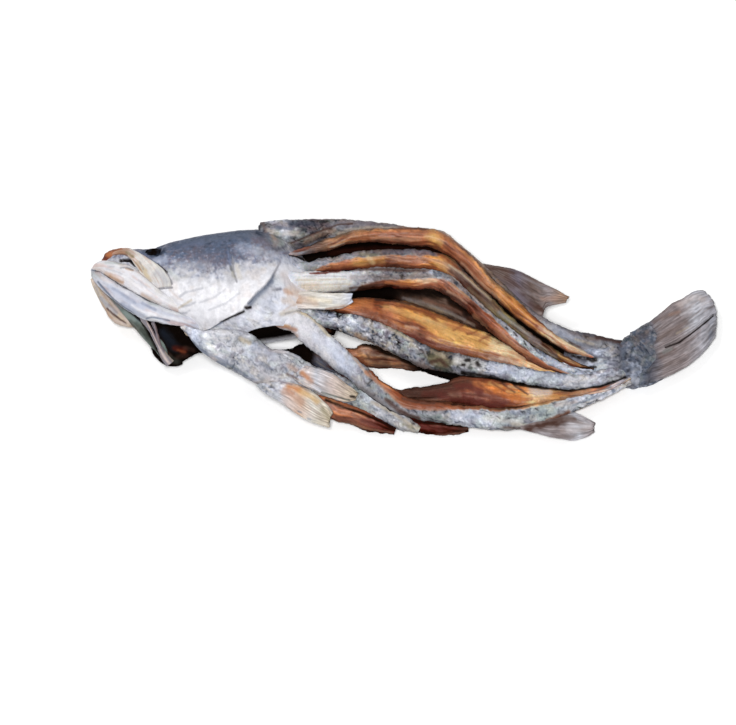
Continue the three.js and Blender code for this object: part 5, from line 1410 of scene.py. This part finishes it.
# The belly
strip("belly_flesh", BELLY_FLESH, FLESH, square=1.8, ridge=-0.25, first="rust", fibre=3.0, look={
    "base": [(370, "umber"), (395, "rust"), (410, "umber"), (440, "umber"), (465, "rust"), (478, "clay"),
             (490, "orange"), (520, "orange"), (535, "blush"), (552, "amber"), (575, "tan"),
             (592, "blush"), (608, "silver"), (630, "fog")],
    "paint": [
        ("umber", 6, 0.7, [(402, 392), (430, 392), (455, 388), (468, 384)]),
        ("red", 4, 0.8, [(456, 386), (468, 386), (480, 391)]),
        ("clay", 1.8, 0.6, [(412, 399.5), (430, 400), (448, 399)]),
        ("red", 4, 0.5, [(424, 394), (444, 392), (462, 390)]),
        ("rust", 3.0, 0.75, [(398, 404), (420, 406), (445, 405), (465, 406)]),
        ("orange", 1.5, 0.4, [(406, 402), (430, 405), (450, 403)]),
        ("red", 5.0, 0.9, [(464, 398), (484, 403), (504, 404)]),
        ("red", 3.0, 0.85, [(440, 396), (458, 400), (474, 404), (494, 407)]),
        ("rust", 2.6, 0.7, [(506, 405), (520, 402), (530, 399)]),
        ("red", 3.5, 0.55, [(478, 394), (496, 398), (512, 402)]),
        ("rust", 4.0, 0.5, [(486, 393), (502, 398)]),
        ("orange", 4.0, 0.6, [(476, 383), (494, 385), (510, 389)]),
        ("gold", 2.4, 0.7, [(490, 383), (500, 386)]),
        ("cream", 1.6, 0.6, [(508, 386), (518, 388)]),
        ("gold", 1.5, 0.6, [(506, 391), (522, 393)]),
        ("rust", 1.5, 0.75, [(478, 383), (484, 388), (490, 392)], -0.5, 1.2),
        ("rust", 1.4, 0.75, [(492, 382), (498, 387), (504, 391)], -0.5, 1.2),
        ("umber", 1.3, 0.7, [(502, 382), (508, 388), (514, 392)], -0.5, 1.2),
        ("umber", 1.4, 0.9, [(514, 385), (520, 389), (527, 394)], -0.6, 1.0),
        ("orange", 3.0, 0.7, [(512, 400), (524, 398)]),
        ("gold", 1.8, 0.6, [(522, 395), (530, 397)]),
        ("pink", 5.0, 0.85, [(532, 391), (540, 393), (548, 392)]),
        ("amber", 2.2, 0.7, [(548, 398), (556, 396)]),
        ("tan", 2.2, 0.6, [(556, 392), (572, 393), (590, 390)]),
        ("umber", 1.0, 0.6, [(560, 398), (584, 394), (610, 387)], -0.3),
        ("umber", 1.2, 0.7, [(460, 409), (484, 410), (510, 408), (534, 405)], -0.4),
        ("tan", 1.6, 0.5, [(530, 404), (548, 401), (564, 398)]),
        # Painted shade: the black line along the upper edge, in the gap under the side skin
        ("soot", 1.5, 0.95, [(452, 373), (470, 376), (488, 377), (504, 381), (520, 385), (545, 388),
                             (570, 390.5), (600, 386), (627, 377)], 0, 0.7, 0.2),
    ],
})
strip("belly_skin", BELLY_SKIN, SKIN, skin="all", square=2.7, cell=0.9, look={
    "skin": [(290, "silver"), (325, "pale"), (345, "silver"), (360, "mist"), (376, "silver"),
             (402, "silver"), (420, "sand")],
    "paint": [
        ("sand", 2.2, 0.6, [(372, 402), (390, 411), (404, 420), (416, 428)]),
        ("lilac", 3, 0.4, [(330, 392), (350, 400)]),
        ("ash", 3, 0.5, [(318, 368), (332, 376), (344, 384)]),
        ("slate", 1.0, 0.6, [(318, 388), (336, 394), (350, 400)], -0.4),
        ("nape", 2.6, 0.35, [(366, 416), (384, 424), (396, 429)]),
        ("olive", 1.6, 0.4, [(404, 424), (412, 428)]),
    ],
})
strip("lowest_flesh", LOWEST_FLESH, FLESH, square=2.0, first="rust", look={
    "base": [(300, "rust"), (334, "clay"), (350, "clay"), (365, "rust"), (385, "red"), (420, "umber")],
    "paint": [
        ("orange", 2.4, 0.4, [(336, 412), (348, 414)]),
        # Painted shade: the black line in the seam under the belly skin
        ("soot", 1.6, 0.85, [(326, 400), (344, 407), (362, 413), (380, 421), (394, 428)]),
        ("red", 3.0, 0.6, [(362, 420), (380, 427)]),
        ("tan", 1.4, 0.6, [(334, 421), (352, 424), (370, 429), (392, 433)], 0, 1.2),
    ],
})
strip("belly_lining", BELLY_LINING, FLESH, square=2.0, first="red", look={
    "base": [(380, "red"), (430, "red"), (470, "umber")],
    "paint": [
        # Painted shade: the black line under the girdle strip's lower edge
        ("soot", 2.0, 0.8, [(400, 417), (420, 422), (445, 424), (462, 425)]),
        ("red", 2.0, 0.6, [(420, 427), (440, 429), (456, 428)]),
        ("clay", 1.4, 0.6, [(404, 433), (424, 435), (444, 435), (464, 432)], 0, 1.2),
    ],
})

# Inner walls and the strips of the far flank
# Painted shade: the shoulder lining and the far strips are painted near black where they show through the
# gaps between the near strips, as the deep shade inside the fish
strip("shoulder_lining", SHOULDER_LINING, FLESH, square=2.0, first="soot", look={
    "base": [(290, "umber"), (320, "soot"), (345, "soot")],
    "paint": [
        ("rust", 2.0, 0.5, [(318, 326), (330, 331)]),
    ],
})
strip("far_back", FAR_BACK, FLESH, skin="outside", square=2.0, first="soot", cell=1.5, look={
    "base": [(280, "soot"), (640, "soot")],
    "paint": [
        ("red", 4, 0.35, [(330, 250), (390, 246), (440, 248)]),
    ],
})
strip("far_upper", FAR_UPPER, FLESH, skin="outside", square=2.0, first="soot", fibre=3.5, cell=1.3, look={
    "base": [(280, "soot"), (392, "soot"), (406, "peat"), (430, "peat"), (456, "peat"), (474, "umber"),
             (500, "soot"), (620, "soot")],
    "paint": [
        # Painted shade: the black band in the gap between the middle strip and the side flesh
        ("soot", 5, 0.9, [(340, 292), (380, 290), (420, 291), (448, 294), (470, 312)]),
        ("sand", 1.8, 0.45, [(408, 300), (430, 306), (454, 314), (476, 325)]),
        ("ash", 2.2, 0.45, [(404, 297), (424, 302), (446, 309), (466, 319)]),
        ("rust", 2.4, 0.5, [(426, 299), (444, 305), (462, 312)]),
    ],
})
strip("far_middle", FAR_MIDDLE, FLESH, skin="outside", square=2.0, first="tan", cell=1.2, look={
    "base": [(300, "umber"), (350, "clay"), (366, "tan"), (384, "loam"), (398, "tan"), (412, "peat"),
             (425, "soot"), (640, "soot")],
    "paint": [
        # Painted shadow: the black band under the side skin's lower edge
        ("soot", 2.6, 0.95, [(358, 342), (372, 346), (392, 355), (412, 363), (440, 372), (470, 378),
                             (520, 386), (580, 392), (620, 386)]),
        ("umber", 1.4, 0.6, [(366, 353), (369, 357)]),
        ("rust", 2.6, 0.6, [(356, 357), (366, 365)]),
        ("umber", 1.0, 0.6, [(368, 366), (386, 366), (404, 366)]),
    ],
})
strip("far_lower", FAR_LOWER, FLESH, skin="outside", square=2.0, first="soot", cell=1.2, look={
    "base": [(250, "soot"), (310, "soot"), (316, "dim"), (344, "dim"), (352, "ash"), (420, "ash")],
    "paint": [
        ("navy", 4, 0.4, [(318, 364), (332, 372)]),
        ("red", 2.4, 0.9, [(342, 377), (347, 380)]),
        ("lilac", 2.4, 0.5, [(352, 383), (362, 389)]),
        # Painted shade: the black line in the seam under the girdle strip
        ("soot", 1.4, 0.9, [(362, 389), (378, 401), (396, 413), (410, 419)]),
        ("rust", 2.4, 0.6, [(288, 329), (299, 330)]),
    ],
})


# The fins and the tail

def fin(name, rows, count, base, strokes, ragged=3.0, bulge=0.0, height=0.2, mirror=False, skin_until=None):
    """A fin with count rays, and with skin from its root to skin_until, in millimetres."""
    if len(rows[0]) == 7:
        p = sheet(name, rows, ragged=ragged, bulge=bulge, mirror=mirror)
    else:
        p = ribbon(name, rows, square=3.0, cell=0.9, mirror=mirror)
    p.tint(base)
    root = np.zeros(len(p.p))
    if skin_until is not None:
        root = 1 - step(skin_until - 8, skin_until + 8, p.run + 6 * layers(p.q, 9, 2, 113))
    p.rays(count, 1 - root, height)
    p.skin(root)
    p.grain = True
    p.depth += 0.5 * layers(p.q, 18, 2, 115)
    p.paint(strokes)
    p.build(FIN, 0.62)


def tail_root():
    """The scaly root of the tail."""
    p = ribbon("tail_root", TAIL_ROOT, square=2.4, cell=0.9)
    p.tint([(560, "lilac"), (600, "lilac"), (612, "fog"), (621, "dim"), (634, "slate"), (648, "slate"),
            (660, "ash"), (668, "dove")])
    p.wash("dusk", 0.4 * step(616, 632, p.x) * p.patches(-0.1, 0.3, 7, 117))
    p.skin(1.0, 6.0, 1.2)
    p.wash("dove", 0.6 * step(618, 630, p.x) * p.patches(0.0, 0.35, 5, 118) * step(360, 344, p.y))
    p.wash("lilac", 0.6 * step(618, 630, p.x) * p.patches(0.0, 0.3, 4, 120) * step(338, 366, p.y))
    p.wash("fog", 0.5 * step(618, 630, p.x) * p.patches(0.05, 0.35, 5, 122))
    p.wash("navy", 0.4 * step(618, 630, p.x) * p.patches(0.08, 0.35, 4, 119))
    p.paint([
        ("nape", 5, 0.3, [(598, 366), (614, 362)]),
        ("lilac", 4, 0.6, [(629, 376), (638, 381)]),
        ("silver", 4, 0.6, [(632, 380), (642, 382), (650, 380)]),
        # Painted shade: these four dim and black strokes, where the ends of the strips lie over the tail's
        # root
        ("dim", 1.8, 0.8, [(572, 346), (586, 352), (598, 357), (610, 358)], 0, 1.0),
        ("soot", 3.0, 0.95, [(552, 346), (566, 353), (580, 358), (596, 359.5)], 0, 0.7),
        ("dim", 3.6, 0.9, [(560, 353), (572, 359), (586, 363)], 0, 0.9),
        ("soot", 1.3, 0.9, [(570, 364), (582, 367), (596, 367)], 0, 0.9),
        ("slate", 5, 0.4, [(588, 346), (606, 346)]),
        ("slate", 3, 0.6, [(621, 340), (623, 350), (624, 362), (626, 374)], -0.6, 1.2),
        ("umber", 1.4, 0.5, [(619, 340), (622, 346)], -0.4, 1.2),
        ("bark", 4, 0.4, [(636, 340), (650, 332)]),
        ("navy", 3.5, 0.4, [(642, 350), (656, 352)], 0, 1.2),
        ("navy", 3.0, 0.35, [(632, 358), (640, 362)], 0, 1.2),
        ("lilac", 4, 0.4, [(632, 366), (640, 372)]),
        ("umber", 2.4, 0.35, [(655, 368), (661, 373)]),
        # Painted shade: the black line continues the seam along the lower edge
        ("soot", 0.9, 0.8, [(600, 386), (612, 381), (624, 377), (630, 376)], -0.7),
        ("sage", 3, 0.35, [(650, 358), (660, 362)]),
    ])
    p.build(SKIN)


# The fins, and the lobes of the tail on its root
fin("first_dorsal", FIRST_DORSAL, 6, base=[
    (255, "ash"), (280, "plum"), (310, "plum"), (370, "sand")], strokes=[
    ("umber", 2.5, 0.5, [(258, 220), (268, 222)]),
    ("navy", 2.5, 0.4, [(292, 221), (312, 220)]),
])
fin("second_dorsal", SECOND_DORSAL, 22, ragged=2.0, base=[
    (484, "bark"), (505, "bark"), (520, "plum"), (535, "bark"), (552, "dove"), (570, "tan")], strokes=[
    ("umber", 1.6, 0.6, [(488, 267), (502, 268), (516, 272)]),
    ("plum", 6, 0.5, [(500, 282), (516, 296), (530, 304)]),
    ("umber", 3, 0.5, [(508, 276), (526, 292)]),
    ("salmon", 3.0, 0.4, [(544, 298), (558, 298)]),
    ("umber", 2.2, 0.8, [(540, 306), (546, 312)]),
    ("umber", 3.0, 0.5, [(532, 303), (542, 309)]),
    ("fog", 2.2, 0.3, [(518, 288), (536, 294)]),
    ("fog", 1.4, 0.4, [(520, 274), (534, 280), (548, 288)]),
])
fin("anal", ANAL, 16, base=[
    (520, "dove"), (545, "dove"), (560, "dove"), (575, "silver"), (592, "dove")], strokes=[
    ("umber", 5.0, 0.95, [(528, 429), (544, 424), (560, 419)], 0, 1.0, 0.5),
    ("umber", 2.0, 0.7, [(556, 424), (566, 420), (574, 419)], 0, 1.0),
    ("bark", 3.0, 0.7, [(556, 417), (568, 418), (580, 423)], 0, 1.0),
    ("rust", 2.0, 0.6, [(550, 413), (562, 411)], 0, 1.0),
    ("pink", 3.0, 0.35, [(562, 430), (576, 430), (588, 427)]),
    ("fog", 3.0, 0.4, [(534, 430), (548, 434)]),
    ("pale", 4.0, 0.45, [(566, 428), (580, 424), (588, 424)]),
])
for twin in (False, True):
    fin("pectoral" + SIDES[twin], PECTORAL, 14, ragged=3.5, height=0.06, mirror=twin, skin_until=14, base=[
        (280, "pale"), (296, "pink"), (318, "bone"), (340, "bone"), (352, "lilac")], strokes=[
        ("tan", 2.6, 0.7, [(284, 306), (292, 303), (300, 302)]),
        ("blush", 4, 0.5, [(290, 295), (304, 299), (316, 303)]),
        ("salmon", 1.6, 0.4, [(288, 294), (300, 297)]),
        ("white", 3, 0.4, [(318, 298), (336, 298), (350, 297)]),
        ("cream", 3, 0.4, [(310, 298), (330, 301)]),
        ("silver", 2.2, 0.5, [(334, 302), (350, 301)]),
        ("bone", 3.0, 0.7, [(284, 291), (300, 292), (318, 293)]),
        ("fog", 1.2, 0.9, [(300, 310), (322, 309.5), (344, 306.5)]),
        ("tan", 1.2, 0.6, [(326, 309), (340, 307), (348, 305)]),
    ])
fin("pelvic_upper", PELVIC_UPPER, 14, height=0.12, skin_until=20, base=[
    (286, "fog"), (298, "silver"), (307, "pink"), (318, "silver"), (332, "pink"), (357, "sand")], strokes=[
    ("umber", 1.4, 0.6, [(293, 376), (298, 379)], 0, 1.0),
    ("clay", 2.6, 0.7, [(303, 373), (308, 377), (312, 381)], 0, 1.2),
    ("orange", 2.2, 0.5, [(302, 373), (308, 378)], 0, 1.2),
    ("blush", 1.8, 0.8, [(300, 384), (306, 390)]),
    ("soot", 1.4, 0.85, [(351, 396), (355, 396.5)]),
    ("moss", 1.0, 0.75, [(322, 392), (336, 396), (350, 400)]),
    ("sage", 1.6, 0.5, [(324, 394), (336, 397)]),
])
fin("pelvic_lower", PELVIC_LOWER, 18, ragged=4.0, height=0.14, skin_until=20, base=[
    (268, "silver"), (280, "silver"), (290, "pink"), (300, "blush"), (312, "bone"),
    (333, "sand")], strokes=[
    ("plum", 1.4, 0.6, [(282, 382), (292, 384)]),
    ("salmon", 3.4, 0.6, [(284, 391), (294, 396), (302, 402)], 0, 1.0),
    ("clay", 1.8, 0.5, [(285, 388), (294, 393)], 0, 1.0),
    ("orange", 2.8, 0.8, [(289, 386), (300, 390)], 0, 1.0),
    ("gold", 3.0, 0.7, [(301, 391), (311, 396), (318, 401)], 0, 1.0),
    ("pink", 3.0, 0.5, [(284, 398), (300, 408), (312, 416)]),
    ("olive", 2.4, 0.45, [(323, 408), (329, 418)], 0, 1.0),
    ("slate", 1.0, 0.6, [(299, 411), (302, 412)]),
    ("slate", 1.0, 0.5, [(308, 418), (311, 419)]),
])
tail_root()
fin("tail_upper", TAIL_UPPER_LOBE, 20, ragged=1.5, bulge=4.0, skin_until=14, base=[
    (640, "slate"), (652, "dim"), (664, "dove"), (686, "dove"), (700, "silver"), (718, "fog")], strokes=[
    ("bark", 2.6, 0.6, [(658, 321), (672, 315), (682, 311)], 0, 1.2),
    ("salmon", 2.0, 0.3, [(674, 314), (684, 311)]),
    ("pink", 4, 0.45, [(684, 304), (700, 296), (710, 298)]),
    ("pale", 2.0, 0.5, [(686, 314), (700, 305), (714, 302)]),
    ("bark", 3.2, 0.6, [(660, 338), (676, 330), (690, 322)], 0, 1.2),
    ("sand", 1.2, 0.5, [(680, 333), (692, 327)]),
    ("fog", 2.4, 0.5, [(704, 318), (716, 312)]),
    ("soot", 0.9, 0.95, [(668, 346), (682, 341), (694, 333), (706, 324), (719, 314)], -1.0),
])
fin("tail_lower", TAIL_LOWER_LOBE, 20, ragged=1.5, bulge=2.0, skin_until=14, base=[
    (640, "slate"), (652, "dim"), (664, "dove"), (690, "dove"), (706, "fog"), (718, "ash")], strokes=[
    ("soot", 0.9, 0.95, [(668, 347), (682, 342), (694, 334), (706, 325), (719, 315)], -1.0),
    ("umber", 3.0, 0.4, [(662, 357), (676, 350)], 0, 1.2),
    ("sage", 2, 0.4, [(666, 352), (674, 349)]),
    ("pale", 2.4, 0.4, [(688, 352), (704, 342)]),
    ("bark", 2.4, 0.4, [(668, 364), (682, 360)], 0, 1.2),
    ("lilac", 2.5, 0.5, [(716, 322), (719, 318)]),
    ("slate", 2.6, 0.4, [(716, 332), (714, 338)]),
])


# The surface, the light and the camera

def plain(name, colour, roughness):
    """A plain surface whose roughness varies a little."""
    m = bpy.data.materials.new(name)
    m.use_nodes = True
    t = m.node_tree
    noise_node = node(t, "TexNoise", (("Scale", 3),))
    spread = mapped(t, 0, 1, roughness - 0.05, roughness + 0.05)
    bsdf = t.nodes["Principled BSDF"]
    link(t, ((noise_node, "Fac", spread, "Value"), (spread, "Result", bsdf, "Roughness")))
    bsdf.inputs["Base Color"].default_value = colour
    return m


def floor():
    """The pale surface that the fish lies on."""
    mesh = bpy.data.meshes.new("floor")
    mesh.from_pydata([(-20, -20, 0), (20, -20, 0), (20, 20, 0), (-20, 20, 0)], [], [(0, 1, 2, 3)])
    mesh.materials.append(plain("floor_white", (0.95, 0.95, 0.95, 1), 0.85))
    obj = bpy.data.objects.new("floor", mesh)
    bpy.context.scene.collection.objects.link(obj)


def area(name, size, power, place):
    """A square light that points to the middle of the frame."""
    data = bpy.data.lights.new(name, "AREA")
    data.size = size
    data.energy = power
    obj = bpy.data.objects.new(name, data)
    bpy.context.scene.collection.objects.link(obj)
    obj.location = place
    obj.rotation_mode = "QUATERNION"
    obj.rotation_quaternion = (-Vector(place)).to_track_quat("-Z", "Y")


floor()
area("front", 0.5, 50, tuple(VIEWER * 2.4 + np.array([-0.12, 0.08, 0])))
area("key", 0.8, 16, (-1.0, 1.0, 1.6))
world = bpy.data.worlds.new("world")
world.use_nodes = True
background = world.node_tree.nodes["Background"]
background.inputs["Color"].default_value = (1, 1, 1, 1)
background.inputs["Strength"].default_value = 0.28
bpy.context.scene.world = world

# What the camera looks at, across, up and above the surface, and how wide its picture is there, in metres
AIM = -36.0, -35.5, 28.0
PICTURE_WIDTH = 0.736

camera = bpy.data.cameras.new("camera")
camera.lens = 135
camera.sensor_width = 36
camera.clip_start = 0.1
camera.clip_end = 50
eye = bpy.data.objects.new("camera", camera)
bpy.context.scene.collection.objects.link(eye)
bpy.context.scene.camera = eye
aim = (as_seen(*AIM) + SHIFT) / 1000
distance = PICTURE_WIDTH * camera.lens / camera.sensor_width
eye.location = aim + VIEWER * distance
eye.rotation_mode = "XYZ"
eye.rotation_euler = (math.radians(90) - TILT, 0, 0)

scene = bpy.context.scene
scene.view_settings.view_transform = "Standard"
scene.view_settings.look = "None"
scene.view_settings.exposure = 0
scene.view_settings.gamma = 1
